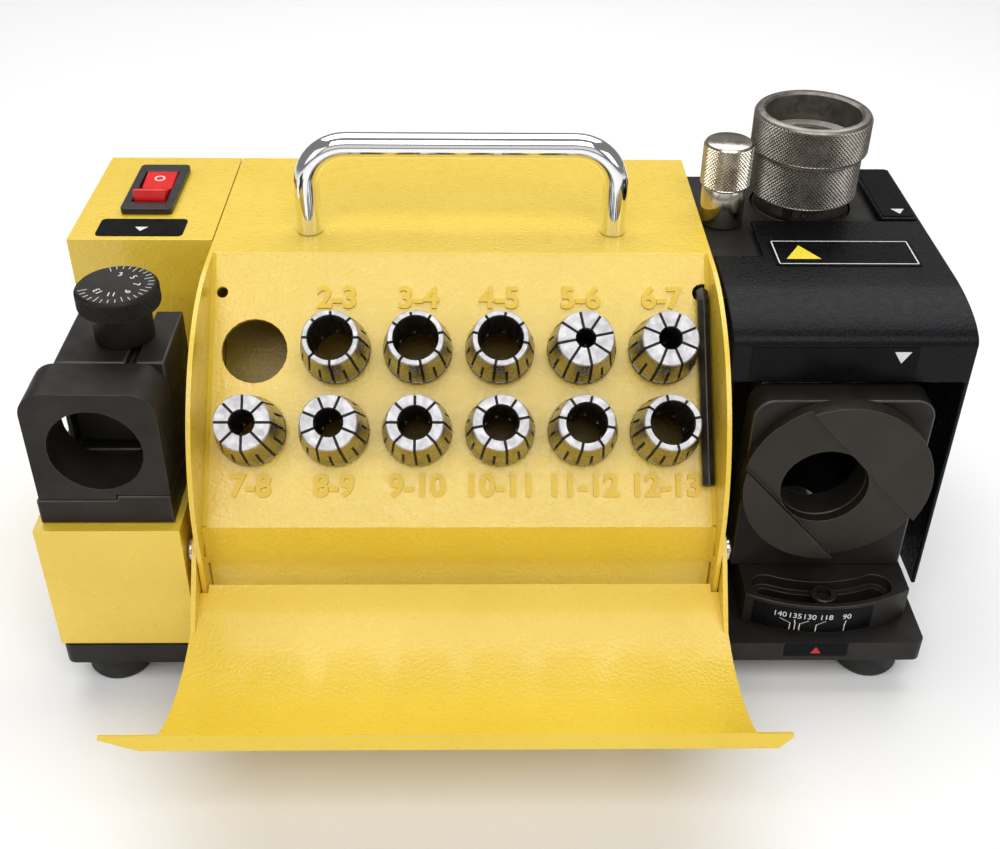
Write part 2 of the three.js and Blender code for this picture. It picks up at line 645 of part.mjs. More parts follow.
function addFeedKnob() {
  const k = feedKnob;
  const knob = turned([
    [0, 98], [3, 98], [3, head.top + GAP], [k.neckRadius, head.top + GAP], [k.neckRadius, k.top - k.knurl],
    [k.radius, k.top - k.knurl], [k.radius, k.top - 0.6], [k.radius - 0.6, k.top], [0, k.top],
  ], 20);
  place('feed_knob', knob.translate(k.x, k.y, 0), knurledSteel);
}

// ---- point angle seat ---------------------------------------------------------------------

function sectorOutline() {
  const halfLeft = 24.5;
  const halfRight = 27.5;
  const angleTo = (half) => Math.asin(half / seat.arc);
  const shape = new THREE.Shape();
  const rearY = -21;
  shape.absarc(0, 0, seat.arc, -Math.PI / 2 - angleTo(halfLeft), -Math.PI / 2 + angleTo(halfRight));
  shape.lineTo(halfRight, rearY);
  shape.lineTo(12, -12);
  shape.absarc(0, 0, 12, 0, Math.PI);
  shape.lineTo(-12, -12);
  shape.lineTo(-halfLeft, rearY);
  return shape;
}

function slotOutline(halfWidth) {
  const half = THREE.MathUtils.degToRad(seat.slotHalfDeg);
  const middle = -Math.PI / 2;
  const end = (angle) => [seat.slotRadius * Math.cos(angle), seat.slotRadius * Math.sin(angle)];
  const shape = new THREE.Shape();
  shape.absarc(0, 0, seat.slotRadius + halfWidth, middle - half, middle + half);
  shape.absarc(...end(middle + half), halfWidth, middle + half, middle + half + Math.PI);
  shape.absarc(0, 0, seat.slotRadius - halfWidth, middle + half, middle - half, true);
  shape.absarc(...end(middle - half), halfWidth, middle - half + Math.PI, middle - half + 2 * Math.PI);
  return shape;
}

function addSeat() {
  const turnGroup = new THREE.Group();
  turnGroup.position.set(seat.x, seat.pivotY, 0);
  machine.add(turnGroup);
  const slot = slabZ(slotOutline(seat.slotHalfWidth), 10, 40, 6);
  const recess = slabZ(slotOutline(seat.recessHalfWidth), seat.top - seat.recessDepth, 40, 6);
  const sector = cut(slabZ(sectorOutline(), FLOOR, seat.top, 12), slot, recess, rod(4.3, 10, 40));
  place('seat_sector', sector, darkMetal, turnGroup);

  const faceY = seat.faceY - seat.pivotY;
  const { plateLeft, plateRight, plateTop, plateCorner } = seat;
  const plateShape = roundedRectangle(-plateLeft, plateRight, FLOOR, plateTop, plateCorner);
  const plate = slabY(plateShape, faceY, faceY + seat.depth, 5);
  const belowPlate = block(-40, 40, faceY - 5, faceY + seat.depth + 5, 0, seat.top + GAP);
  const bore = () => alongY(rod(BORE_RADIUS, -60, 0, 28)).translate(seat.bore.x, 0, seat.bore.z);
  place('seat_plate', cut(plate, belowPlate, bore()), darkMetal, turnGroup);

  const camBack = faceY - GAP;
  const camFront = seat.camFrontY - seat.pivotY;
  const disc = alongY(rod(seat.camRadius, camFront, camBack, 40)).translate(0, 0, seat.axisZ);
  const channel = block(-50, 50, camFront - 5, camFront + seat.channelDepth, -BORE_RADIUS, BORE_RADIUS);
  channel.rotateY(-THREE.MathUtils.degToRad(seat.channelDeg)).translate(seat.bore.x, 0, seat.bore.z);
  place('seat_cam', cut(disc, channel, bore()), darkMetal, turnGroup);

  const under = seat.top - seat.recessDepth + GAP;
  const screw = turned([
    [0, 13], [2.4, 13], [2.4, under], [3.9, under], [3.9, under + 3.6], [2.1, under + 3.6],
    [2.1, under + 1.5], [0, under + 1.5],
  ], 12);
  const mesh = place('seat_clamp_screw', screw, blackOxide);
  mesh.position.set(seat.x, seat.pivotY - seat.slotRadius, 0);
  const pivotTop = seat.top + GAP;
  const pin = turned([[0, 13], [4, 13], [4, pivotTop], [6.5, pivotTop], [6.5, 33.5], [0, 33.5]], 16);
  const pivot = place('seat_pivot', pin, steel);
  pivot.position.set(seat.x, seat.pivotY, 0);
}

// ---- setting gauge ------------------------------------------------------------------------

const rearBlock = { left: -114, right: -83, front: 20.3, back: 49 };
const stop = { half: 10.5, front: 24, thickness: 5 };

function addGauge() {
  const g = gauge;
  const b = rearBlock;
  const bar = block(g.left - 0.8, g.right, g.front - 0.2, b.back, switchBox.stepZ + GAP, g.seam - GAP);
  const stepTop = g.seam + g.stepHeight;
  const barStep = block(g.stepX, g.right, g.front - 0.2, b.front - GAP, g.seam - 1, stepTop - GAP);
  place('gauge_base', join(bar, barStep), darkMetal);
  const plateShape = roundedRectangle(g.left, g.right, g.seam - 20, g.top, g.corner);
  const plate = slabY(plateShape, g.front, g.front + g.depth, 5);
  const below = join(block(g.left - 5, g.right + 5, 0, 30, 30, g.seam),
    block(g.stepX - GAP, g.right + 5, 0, 30, 30, stepTop));
  const bore = alongY(rod(BORE_RADIUS, 0, 40, 28)).translate(g.boreX, 0, g.boreZ);
  place('gauge_plate', cut(plate, below, bore), darkMetal);

  const body = block(b.left, b.right, b.front, b.back, g.seam, g.top - 3);
  const rail = block(b.right - 8, b.right, b.front, b.back, g.top - 4, g.top);
  const pad = block(b.left, b.right - 11, b.front, b.back, g.top - 4, g.top);
  const pocket = block(g.boreX - stop.half - 0.5, g.boreX + stop.half + 0.5, b.front - 5, b.back - 5,
    g.boreZ - stop.half - 0.5, g.boreZ + stop.half + 0.5);
  place('gauge_block', cut(join(body, rail, pad), pocket), darkMetal);

  const plateStop = block(g.boreX - stop.half, g.boreX + stop.half, stop.front, stop.front + stop.thickness,
    g.boreZ - stop.half, g.boreZ + stop.half);
  const eye = alongY(rod(1.5, 0, 60, 16)).translate(g.boreX + 1, 0, g.boreZ + 1);
  place('stop_plate', cut(plateStop, eye), darkMetal);
}

function addDial() {
  const d = dial;
  const profile = [
    [0, gauge.top + GAP], [d.neckRadius, gauge.top + GAP], [d.neckRadius, d.neckTop], [d.radius, d.neckTop],
    [d.radius, d.top - 0.6], [d.radius - 0.6, d.top], [0, d.top],
  ];
  place('web_dial', turned(profile, 24).translate(d.x, d.y, 0), darkMetal);
}

// ---- collet chuck -------------------------------------------------------------------------

function addChuck() {
  const c = chuck;
  const body = turned([
    [7, c.noseBottom], [c.noseRadius - 1, c.noseBottom], [c.noseRadius, c.noseBottom + 1],
    [c.noseRadius, c.ringBottom], [c.ringRadius, c.ringBottom], [c.ringRadius, c.knurlBottom],
    [c.knurlRadius, c.knurlBottom], [c.knurlRadius, c.nutBottom - GAP], [13, c.nutBottom - GAP],
    [13, c.neckTop], [10.6, c.neckTop], [7, c.neckTop - 24], [7, c.noseBottom],
  ], 24);
  place('chuck_body', body.translate(port.x, port.y, 0), blackOxide);
  const nut = turned([
    [13.3, c.nutBottom], [c.nutRadius, c.nutBottom], [c.nutRadius, c.nutTop - 0.6],
    [c.nutRadius - 0.6, c.nutTop], [16.2, c.nutTop], [15.6, c.nutTop - 0.6], [15.6, c.neckTop + 0.6],
    [13.3, c.neckTop - 0.8], [13.3, c.nutBottom],
  ], 24);
  place('chuck_nut', nut.translate(port.x, port.y, 0), blackOxide);
}

// ---- the whole machine --------------------------------------------------------------------

addBase();
addFeet();
addMotorCover();
addColletRack();
addCollets();
addHexKey();
addRackBacking();
addRackCover();
addHandle();
addSwitchBox();
addSwitch();
addRearFittings();
addMotor();
addWheel();
addHeadHousing();
addGuard();
addReliefPort();
addFeedKnob();
addSeat();
addGauge();
addDial();
addChuck();

machine.updateMatrixWorld(true);
const bounds = new THREE.Box3().setFromObject(machine, true);
const middle = bounds.getCenter(new THREE.Vector3());
machine.position.set(-middle.x, -middle.y, -bounds.min.z);

const sharpener = new THREE.Group();
sharpener.add(machine);
export default sharpener;
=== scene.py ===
import math

import bmesh
import bpy
from mathutils import Matrix, Vector


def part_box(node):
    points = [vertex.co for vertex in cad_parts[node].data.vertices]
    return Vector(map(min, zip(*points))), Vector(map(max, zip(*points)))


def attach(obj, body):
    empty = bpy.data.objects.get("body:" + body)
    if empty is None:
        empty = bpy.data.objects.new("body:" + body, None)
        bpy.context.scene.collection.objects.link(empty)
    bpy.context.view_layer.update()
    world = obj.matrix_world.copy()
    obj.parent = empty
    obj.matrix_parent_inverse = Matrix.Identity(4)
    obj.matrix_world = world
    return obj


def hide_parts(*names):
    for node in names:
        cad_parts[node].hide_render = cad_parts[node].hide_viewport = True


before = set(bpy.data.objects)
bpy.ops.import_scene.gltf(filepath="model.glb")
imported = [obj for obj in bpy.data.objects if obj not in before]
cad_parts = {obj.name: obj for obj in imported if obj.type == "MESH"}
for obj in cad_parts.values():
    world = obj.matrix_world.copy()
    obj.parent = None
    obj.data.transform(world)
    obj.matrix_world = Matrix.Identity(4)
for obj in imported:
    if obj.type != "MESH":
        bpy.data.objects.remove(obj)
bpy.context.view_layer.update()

# Bench drill bit sharpener. Sizes are in millimetres in the machine's own axes: y = 0 at the front
# edge of the base plate and z = 0 on the bench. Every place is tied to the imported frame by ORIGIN.

MM = 0.001
TAU = math.tau
BASE_LEFT, BASE_UNDERSIDE = -123.0, 11.5
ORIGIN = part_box("base_plate")[0] - Vector((BASE_LEFT, 0.0, BASE_UNDERSIDE)) * MM

TOP = 119.0                  # top of the yellow body
RACK_Y, RACK_Z = 8.5, 59.1   # lower fold of the collet rack, which rises back at 45 degrees
RACK_ROWS = {"upper": 53.6, "lower": 28.6}    # distance of each row up the slope
RACK_PITCH = 24.8
RACK_SHIFT = -0.6            # how far right of the rack's middle the middle of its holes is
COLLET_BORES = {
    "upper_2": 13.0, "upper_3": 13.0, "upper_4": 13.0, "upper_5": 5.5, "upper_6": 6.5,
    "lower_1": 7.2, "lower_2": 8.2, "lower_3": 9.7, "lower_4": 10.2, "lower_5": 11.6, "lower_6": 12.6,
}
SEAT = (113.4, 54.5)         # the axis that the seat swivels on
SEAT_RADIUS = 51.0           # of the curved front of the seat's sector
PORT = (115.3, 115.0)        # the axis of the relief port, where the chuck stands
GUARD_TOP = 117.0
GUARD_FRONT = 30.0

FILM_THICKNESS = 0.3
INK_THICKNESS = 0.06
SHARP_ANGLE = 35             # edges that turn by more degrees than this aren't shaded smooth
BEVEL_ANGLE = 32             # edges that turn by more degrees than this are rounded


def at(x, y, z):
    """A point of the machine, in metres in the frame's own axes."""
    return Vector((x, y, z)) * MM + ORIGIN


def machine(matrix):
    """The matrix that takes millimetres in the machine's axes to metres in the frame's axes."""
    return Matrix.Translation(ORIGIN) @ Matrix.Scale(MM, 4) @ matrix


def move(x, y, z):
    return Matrix.Translation((x, y, z))


def turn(degrees, axis):
    return Matrix.Rotation(math.radians(degrees), 4, axis)


# ---- materials ----------------------------------------------------------------------------------


class Surface:
    """A Principled material, with short ways to add procedural detail in the frame's own metres."""

    def __init__(self, name, color, roughness, metallic=0.0, **sockets):
        self.material = bpy.data.materials.new(name)
        self.material.use_nodes = True
        self.tree = self.material.node_tree
        self.shader = self.tree.nodes["Principled BSDF"]
        self.place = self.node("ShaderNodeTexCoord").outputs["Object"]
        self.height = None
        self.set("Base Color", (*color, 1.0))
        self.set("Roughness", roughness)
        self.set("Metallic", metallic)
        for socket, value in sockets.items():
            self.set(socket.replace("_", " "), value)

    def set(self, socket, value):
        self.shader.inputs[socket].default_value = value

    def node(self, kind, **settings):
        made = self.tree.nodes.new(kind)
        for key, value in settings.items():
            setattr(made, key, value)
        return made

    def link(self, output, target):
        self.tree.links.new(output, target)

    def stretched(self, scale):
        """The piece's own coordinates, multiplied by a scale along each axis."""
        mapping = self.node("ShaderNodeMapping")
        mapping.inputs["Scale"].default_value = scale
        self.link(self.place, mapping.inputs["Vector"])
        return mapping.outputs["Vector"]

    def noise(self, scale, detail, stretch=(1, 1, 1)):
        texture = self.node("ShaderNodeTexNoise")
        texture.inputs["Scale"].default_value = scale
        texture.inputs["Detail"].default_value = detail
        self.link(self.stretched(stretch), texture.inputs["Vector"])
        return texture.outputs["Fac"]

    def cells(self, scale):
        texture = self.node("ShaderNodeTexVoronoi", feature="SMOOTH_F1")
        texture.inputs["Scale"].default_value = scale
        self.link(self.place, texture.inputs["Vector"])
        return texture.outputs["Distance"]

    def ramp(self, value, low, high, from_value, to_value):
        mapped = self.node("ShaderNodeMapRange")
        mapped.inputs["From Min"].default_value = low
        mapped.inputs["From Max"].default_value = high
        mapped.inputs["To Min"].default_value = from_value
        mapped.inputs["To Max"].default_value = to_value
        self.link(value, mapped.inputs["Value"])
        return mapped.outputs["Result"]

    def vary_color(self, value, dark, light, low=0.35, high=0.65):
        ramp = self.node("ShaderNodeValToRGB")
        ramp.color_ramp.elements[0].position = low
        ramp.color_ramp.elements[0].color = (*dark, 1.0)
        ramp.color_ramp.elements[1].position = high
        ramp.color_ramp.elements[1].color = (*light, 1.0)
        self.link(value, ramp.inputs["Fac"])
        self.link(ramp.outputs["Color"], self.shader.inputs["Base Color"])

    def vary_roughness(self, value, smooth, rough):
        self.link(self.ramp(value, 0.3, 0.7, smooth, rough), self.shader.inputs["Roughness"])

    def bump(self, value, distance, strength):
        """Adds relief of a depth in millimetres, on top of any that is there."""
        bump = self.node("ShaderNodeBump")
        bump.inputs["Distance"].default_value = distance * MM
        bump.inputs["Strength"].default_value = strength
        self.link(value, bump.inputs["Height"])
        if self.height is not None:
            self.link(self.height, bump.inputs["Normal"])
        self.height = bump.outputs["Normal"]
        self.link(self.height, self.shader.inputs["Normal"])


def yellow_paint():
    paint = Surface("yellow_enamel", (0.82, 0.57, 0.045), 0.3, Specular_IOR_Level=0.7, Coat_Weight=0.4)
    paint.set("Coat Roughness", 0.12)
    paint.vary_color(paint.noise(28, 3), (0.80, 0.555, 0.04), (0.84, 0.59, 0.052))
    paint.bump(paint.noise(850, 2), 0.4, 0.6)
    paint.bump(paint.noise(2200, 1), 0.07, 0.5)
    paint.vary_roughness(paint.noise(300, 2), 0.26, 0.42)
    return paint.material


def number_paint():
    paint = Surface("yellow_enamel_numbers", (0.80, 0.545, 0.038), 0.4, Specular_IOR_Level=0.4)
    paint.vary_color(paint.noise(60, 3), (0.78, 0.53, 0.035), (0.82, 0.56, 0.042))
    paint.bump(paint.noise(1500, 2), 0.05, 0.6)
    return paint.material


def inner_paint():
    # A darker copy of the yellow enamel: painted shade for the backing, which is seen in shadow through the
    # rack's empty hole.
    paint = Surface("yellow_enamel_painted_shade", (0.36, 0.235, 0.022), 0.4)
    paint.vary_color(paint.noise(60, 3), (0.30, 0.195, 0.018), (0.42, 0.275, 0.026))
    paint.bump(paint.noise(850, 2), 0.4, 0.6)
    return paint.material


def dark_alloy():
    alloy = Surface("dark_anodised_alloy", (0.020, 0.0175, 0.015), 0.5, 0.3, Specular_IOR_Level=0.3)
    alloy.vary_color(alloy.noise(60, 4), (0.015, 0.013, 0.0113), (0.025, 0.022, 0.019))
    alloy.bump(alloy.noise(3200, 2), 0.03, 0.6)
    alloy.vary_roughness(alloy.noise(180, 4), 0.42, 0.6)
    return alloy.material


def machined_alloy():
    alloy = Surface("machined_dark_alloy", (0.031, 0.026, 0.020), 0.42, 0.5, Specular_IOR_Level=0.35)
    alloy.vary_color(alloy.noise(50, 3), (0.026, 0.022, 0.017), (0.036, 0.030, 0.024))
    alloy.bump(alloy.noise(400, 3, (0.3, 1, 9)), 0.02, 0.5)
    alloy.vary_roughness(alloy.noise(300, 3, (0.3, 1, 8)), 0.34, 0.52)
    return alloy.material


def worn_edge():
    edge = Surface("worn_alloy_edge", (0.07, 0.062, 0.053), 0.42, 0.6)
    edge.vary_color(edge.noise(90, 3), (0.045, 0.04, 0.034), (0.10, 0.09, 0.076), 0.35, 0.7)
    edge.vary_roughness(edge.noise(200, 2), 0.36, 0.5)
    return edge.material


def black_sheet():
    sheet = Surface("black_powder_coat", (0.003, 0.0034, 0.0042), 0.3, Specular_IOR_Level=0.12)
    sheet.set("Coat Weight", 0.05)
    sheet.set("Coat Roughness", 0.1)
    sheet.vary_color(sheet.noise(40, 3), (0.0022, 0.0026, 0.0034), (0.004, 0.0045, 0.0056))
    sheet.bump(sheet.noise(1100, 2), 0.3, 0.7)
    sheet.bump(sheet.noise(1800, 2), 0.06, 0.8)
    sheet.vary_roughness(sheet.noise(400, 2), 0.26, 0.4)
    return sheet.material


def chrome():
    plate = Surface("polished_chrome", (0.86, 0.86, 0.87), 0.06, 1.0)
    plate.vary_roughness(plate.noise(120, 4), 0.03, 0.11)
    plate.bump(plate.noise(60, 2), 0.02, 0.3)
    return plate.material


def bright_steel():
    steel = Surface("polished_steel", (0.6, 0.58, 0.54), 0.18, 1.0, Anisotropic=0.4)
    steel.vary_color(steel.noise(300, 3), (0.5, 0.48, 0.44), (0.64, 0.62, 0.58))
    steel.bump(steel.noise(2600, 2, (1, 1, 0.2)), 0.01, 0.4)
    steel.vary_roughness(steel.noise(700, 3), 0.12, 0.24)
    return steel.material


def ground_face():
    steel = Surface("ground_steel_face", (0.50, 0.49, 0.50), 0.5, 0.75)
    steel.vary_color(steel.noise(420, 4), (0.42, 0.41, 0.42), (0.58, 0.57, 0.58))
    steel.bump(steel.noise(2600, 2, (1, 0.2, 1)), 0.015, 0.6)
    steel.vary_roughness(steel.noise(600, 3), 0.42, 0.6)
    return steel.material


def collet_steel():
    steel = Surface("ground_collet_steel", (0.34, 0.325, 0.31), 0.26, 1.0)
    steel.vary_color(steel.noise(120, 2), (0.28, 0.265, 0.25), (0.40, 0.385, 0.37))
    steel.bump(steel.noise(3000, 1), 0.003, 0.4)
    steel.vary_roughness(steel.noise(700, 3), 0.2, 0.34)
    return steel.material


def bore_steel():
    # Dark steel for the collets' bores: painted shade deep inside each bore.
    steel = Surface("collet_bore_painted_shade", (0.035, 0.031, 0.028), 0.5, 0.6)
    steel.vary_color(steel.noise(500, 3), (0.025, 0.022, 0.02), (0.05, 0.045, 0.04))
    steel.vary_roughness(steel.noise(700, 3), 0.42, 0.6)
    steel.bump(steel.noise(2600, 2), 0.015, 0.5)
    return steel.material


def collet_gap():
    gap = Surface("collet_slot_rubber", (0.012, 0.011, 0.011), 0.7)
    gap.vary_color(gap.noise(900, 2), (0.008, 0.008, 0.008), (0.02, 0.018, 0.017))
    gap.bump(gap.noise(2500, 2), 0.03, 0.4)
    return gap.material


def nickel():
    plate = Surface("nickel_plate", (0.6, 0.55, 0.46), 0.2, 1.0)
    plate.vary_color(plate.noise(200, 3), (0.52, 0.47, 0.39), (0.66, 0.61, 0.52))
    plate.vary_roughness(plate.noise(500, 3), 0.12, 0.28)
    plate.bump(plate.noise(2000, 2), 0.01, 0.4)
    return plate.material


def gun_steel():
    steel = Surface("dark_phosphated_steel", (0.26, 0.238, 0.21), 0.36, 0.9)
    steel.vary_color(steel.noise(150, 4), (0.21, 0.192, 0.17), (0.31, 0.285, 0.252))
    steel.vary_roughness(steel.noise(600, 3), 0.28, 0.45)
    steel.bump(steel.noise(2400, 2), 0.02, 0.5)
    return steel.material


def black_oxide():
    steel = Surface("black_oxide_steel", (0.03, 0.026, 0.023), 0.38, 0.6)
    steel.vary_color(steel.noise(300, 3), (0.02, 0.018, 0.016), (0.045, 0.038, 0.032))
    steel.vary_roughness(steel.noise(500, 3), 0.3, 0.48)
    steel.bump(steel.noise(2600, 2), 0.02, 0.5)
    return steel.material


def rubber():
    foot = Surface("foot_rubber", (0.012, 0.012, 0.012), 0.75)
    foot.vary_color(foot.noise(200, 3), (0.009, 0.009, 0.009), (0.02, 0.019, 0.018))
    foot.bump(foot.noise(1800, 3), 0.05, 0.6)
    return foot.material


def black_plastic():
    plastic = Surface("moulded_black_plastic", (0.011, 0.011, 0.012), 0.38)
    plastic.vary_color(plastic.noise(150, 2), (0.009, 0.009, 0.010), (0.016, 0.016, 0.017))
    plastic.bump(plastic.noise(3000, 2), 0.03, 0.6)
    plastic.vary_roughness(plastic.noise(400, 2), 0.32, 0.46)
    return plastic.material


def red_plastic():
    plastic = Surface("red_switch_plastic", (0.72, 0.002, 0.002), 0.2, Coat_Weight=0.3)
    plastic.vary_color(plastic.noise(200, 2), (0.66, 0.001, 0.001), (0.78, 0.004, 0.003))
    plastic.bump(plastic.noise(900, 1), 0.01, 0.3)
    return plastic.material


def printed_ink(name, color):
    ink = Surface(name, color, 0.5)
    worn = tuple(channel * 0.82 for channel in color)
    ink.vary_color(ink.noise(1200, 3), worn, color, 0.3, 0.5)
    ink.bump(ink.noise(3000, 2), 0.01, 0.4)
    return ink.material


def label_film():
    film = Surface("label_film", (0.004, 0.004, 0.0045), 0.3, Specular_IOR_Level=0.08)
    film.vary_color(film.noise(120, 2), (0.003, 0.003, 0.0035), (0.005, 0.005, 0.0055))
    film.bump(film.noise(2200, 2), 0.01, 0.4)
    film.vary_roughness(film.noise(300, 2), 0.24, 0.36)
    return film.material


def grey_paint():
    paint = Surface("motor_grey_paint", (0.16, 0.17, 0.18), 0.45)
    paint.vary_color(paint.noise(80, 3), (0.13, 0.14, 0.15), (0.19, 0.2, 0.21))
    paint.bump(paint.noise(900, 2), 0.05, 0.5)
    return paint.material


def grit():
    wheel = Surface("bonded_grit", (0.28, 0.24, 0.18), 0.85)
    wheel.vary_color(wheel.noise(1500, 4), (0.12, 0.1, 0.08), (0.5, 0.44, 0.34))
    wheel.bump(wheel.cells(1400), 0.15, 0.8)
    return wheel.material


def laminate():
    board = Surface("circuit_laminate", (0.02, 0.14, 0.05), 0.4)
    board.vary_color(board.noise(300, 2), (0.015, 0.11, 0.04), (0.03, 0.18, 0.07))
    board.bump(board.noise(1600, 2), 0.03, 0.5)
    return board.material


YELLOW = yellow_paint()
NUMBERS = number_paint()
PAINTED_SHADE_YELLOW = inner_paint()
ALLOY = dark_alloy()
MACHINED = machined_alloy()
EDGE = worn_edge()
BLACK = black_sheet()
CHROME = chrome()
STEEL = bright_steel()
FACE = ground_face()
COLLET = collet_steel()
SHADED_BORE = bore_steel()
GAP = collet_gap()
NICKEL = nickel()
GUN = gun_steel()
OXIDE = black_oxide()
RUBBER = rubber()
PLASTIC = black_plastic()
RED = red_plastic()
WHITE_INK = printed_ink("white_ink", (0.75, 0.75, 0.73))
RED_INK = printed_ink("red_ink", (0.55, 0.02, 0.02))
YELLOW_INK = printed_ink("yellow_ink", (0.85, 0.68, 0.03))
FILM = label_film()
GREY = grey_paint()
GRIT = grit()
LAMINATE = laminate()


# ---- shapes -------------------------------------------------------------------------------------


def turned(profile, segments=96, hexagons=()):
    """A profile of (radius, height) turned about Z. The rings numbered in hexagons are six-sided."""
    vertices, rings, faces = [], [], []
    side = TAU / 6
    for index, (radius, height) in enumerate(profile):
        first = len(vertices)
        if radius == 0:
            vertices.append((0, 0, height))
            rings.append([first] * segments)
            continue
        for k in range(segments):
            angle = TAU * k / segments
            reach = radius
            if index in hexagons:
                from_mid_side = (angle + side / 2) % side - side / 2
                reach = radius / math.cos(from_mid_side)
            vertices.append((reach * math.cos(angle), reach * math.sin(angle), height))
        rings.append(range(first, first + segments))
    for low, high in zip(rings, rings[1:]):
        for k in range(segments):
            after = (k + 1) % segments
            corners = dict.fromkeys((low[k], low[after], high[after], high[k]))
            if len(corners) > 2:
                faces.append(tuple(corners))
    return vertices, faces


def knurled(radius, bottom, top, pitch, depth):
    """A band of small pyramids round Z, with grooves both ways along the diagonals."""
    columns = 2 * round(TAU * radius / pitch)
    rows = 2 * round((top - bottom) / pitch)
    vertices, faces = [], []
    for j in range(rows + 1):
        height = bottom + (top - bottom) * j / rows
        for i in range(columns):
            peak = (i + j) % 2 == 0 and 0 < j < rows
            reach = radius if peak else radius - depth
            angle = TAU * i / columns
            vertices.append((reach * math.cos(angle), reach * math.sin(angle), height))
    for j in range(rows):
        for i in range(columns):
            after = (i + 1) % columns
            a, b = j * columns + i, j * columns + after
            d, c = a + columns, b + columns
            if (i + j) % 2 == 0:
                faces += [(a, b, d), (b, c, d)]
            else:
                faces += [(a, b, c), (a, c, d)]
    return vertices, faces


def slab(outline, low, high):
    """A flat outline of (x, y) raised from low to high."""
    count = len(outline)
    vertices = [(x, y, low) for x, y in outline] + [(x, y, high) for x, y in outline]
    faces = [tuple(range(count))[::-1], tuple(range(count, 2 * count))]
    for k in range(count):
        after = (k + 1) % count
        faces.append((k, after, after + count, k + count))
    return vertices, faces


def rounded_rectangle(width, height, radius):
    """An outline of (x, y) round the origin, with an arc at each corner."""
    steps = 6
    points = []
    corners = ((1, -1, -90), (1, 1, 0), (-1, 1, 90), (-1, -1, 180))
    for side_x, side_y, start in corners:
        for k in range(steps + 1):
            angle = math.radians(start + 90 * k / steps)
            x = side_x * (width / 2 - radius) + radius * math.cos(angle)
            y = side_y * (height / 2 - radius) + radius * math.sin(angle)
            points.append((x, y))
    return points


def along_x(outline, low, high):
    """A flat outline of (y, z) drawn out along X."""
    vertices, faces = slab(outline, low, high)
    return [(reach, y, z) for y, z, reach in vertices], faces


def along_y(outline, low, high):
    """A flat outline of (x, z) drawn out along Y."""
    vertices, faces = slab(outline, low, high)
    return [(x, reach, z) for x, z, reach in vertices], faces


def tube(points, radius, sides):
    """A round bar along points that lie in a plane square to Y."""
    vertices, faces = [], []
    for index, point in enumerate(points):
        before = points[max(index - 1, 0)]
        after = points[min(index + 1, len(points) - 1)]
        along = (Vector(after) - Vector(before)).normalized()
        across = Vector((0, 1, 0))
        up = along.cross(across)
        for k in range(sides):
            angle = TAU * k / sides
            offset = across * math.cos(angle) + up * math.sin(angle)
            vertices.append(Vector(point) + offset * radius)
    for row in range(len(points) - 1):
        for k in range(sides):
            a, b = row * sides + k, row * sides + (k + 1) % sides
            faces.append((a, b, b + sides, a + sides))
    last = (len(points) - 1) * sides
    faces.append(tuple(range(sides))[::-1])
    faces.append(tuple(range(last, last + sides)))
    return vertices, faces


def lettering(text, size, depth, weight=0.0):
    """Generic numbers as a flat solid, centred on the origin, with strokes made wider by weight."""
    curve = bpy.data.curves.new("digits", "FONT")
    curve.body = text
    curve.size = size
    curve.extrude = depth / 2
    curve.offset = weight
    curve.align_x = "CENTER"
    curve.align_y = "CENTER"
    curve.resolution_u = 4
    holder = bpy.data.objects.new("digits", curve)
    bpy.context.scene.collection.objects.link(holder)
    bpy.context.view_layer.update()
    mesh = bpy.data.meshes.new_from_object(holder.evaluated_get(bpy.context.evaluated_depsgraph_get()))
    vertices = [(v.co.x, v.co.y, v.co.z + depth / 2) for v in mesh.vertices]
    faces = [tuple(p.vertices) for p in mesh.polygons]
    bpy.data.objects.remove(holder)
    bpy.data.curves.remove(curve)
    bpy.data.meshes.remove(mesh)
    return vertices, faces


class Shape:
    """Parts put together in millimetres, each with the number of the material that it takes."""

    def __init__(self):
        self.vertices = []
        self.faces = []
        self.paint = []

    def add(self, part, matrix=Matrix(), paint=0):
        start = len(self.vertices)
        vertices, faces = part
        self.vertices += [matrix @ Vector(v) for v in vertices]
        self.faces += [tuple(start + k for k in face) for face in faces]
        self.paint += [paint] * len(faces)
        return self

    def repaint_bore(self, radius, number):
        """Gives another material to every face that lies inside a radius round Z."""
        for index, face in enumerate(self.faces):
            if all(math.hypot(*self.vertices[corner][:2]) < radius for corner in face):
                self.paint[index] = number

    def piece(self, name, materials, body, slot, replaces=(), bevel=0.0, place=Matrix(),
              smooth=SHARP_ANGLE):
        """Makes the finished piece, with the shape's own axes put at a place in the machine."""
        mesh = bpy.data.meshes.new(name)
        to_frame = machine(place)
        mesh.from_pydata([to_frame @ v for v in self.vertices], [], self.faces)
        paint_with(mesh, materials, self.paint)
        dress(name, mesh, body, replaces, bevel, smooth)


def paint_with(mesh, materials, numbers):
    """Gives a mesh its materials, and each of its faces the number of the one that it takes."""
    mesh.materials.clear()
    for material in materials:
        mesh.materials.append(material)
    for polygon, number in zip(mesh.polygons, numbers):
        polygon.material_index = number


def clean(mesh, flat_angle):
    """Joins doubled corners, merges faces that lie flatter than an angle, and turns faces outwards."""
    bm = bmesh.new()
    bm.from_mesh(mesh)
    bmesh.ops.remove_doubles(bm, verts=bm.verts, dist=0.001 * MM)
    if flat_angle:
        bmesh.ops.dissolve_limit(bm, angle_limit=math.radians(flat_angle), verts=bm.verts, edges=bm.edges)
    bmesh.ops.recalc_face_normals(bm, faces=bm.faces)
    bm.to_mesh(mesh)
    bm.free()


def add_rounding(piece, width):
    """Rounds the edges of a piece. The rounded strips take the last of its materials."""
    rounding = piece.modifiers.new("rounding", "BEVEL")
    rounding.width = width * MM
    rounding.segments = 3
    rounding.limit_method = "ANGLE"
    rounding.angle_limit = math.radians(BEVEL_ANGLE)
    rounding.miter_outer = "MITER_ARC"
    rounding.material = len(piece.data.materials) - 1
    weights = piece.modifiers.new("weights", "WEIGHTED_NORMAL")
    weights.keep_sharp = True


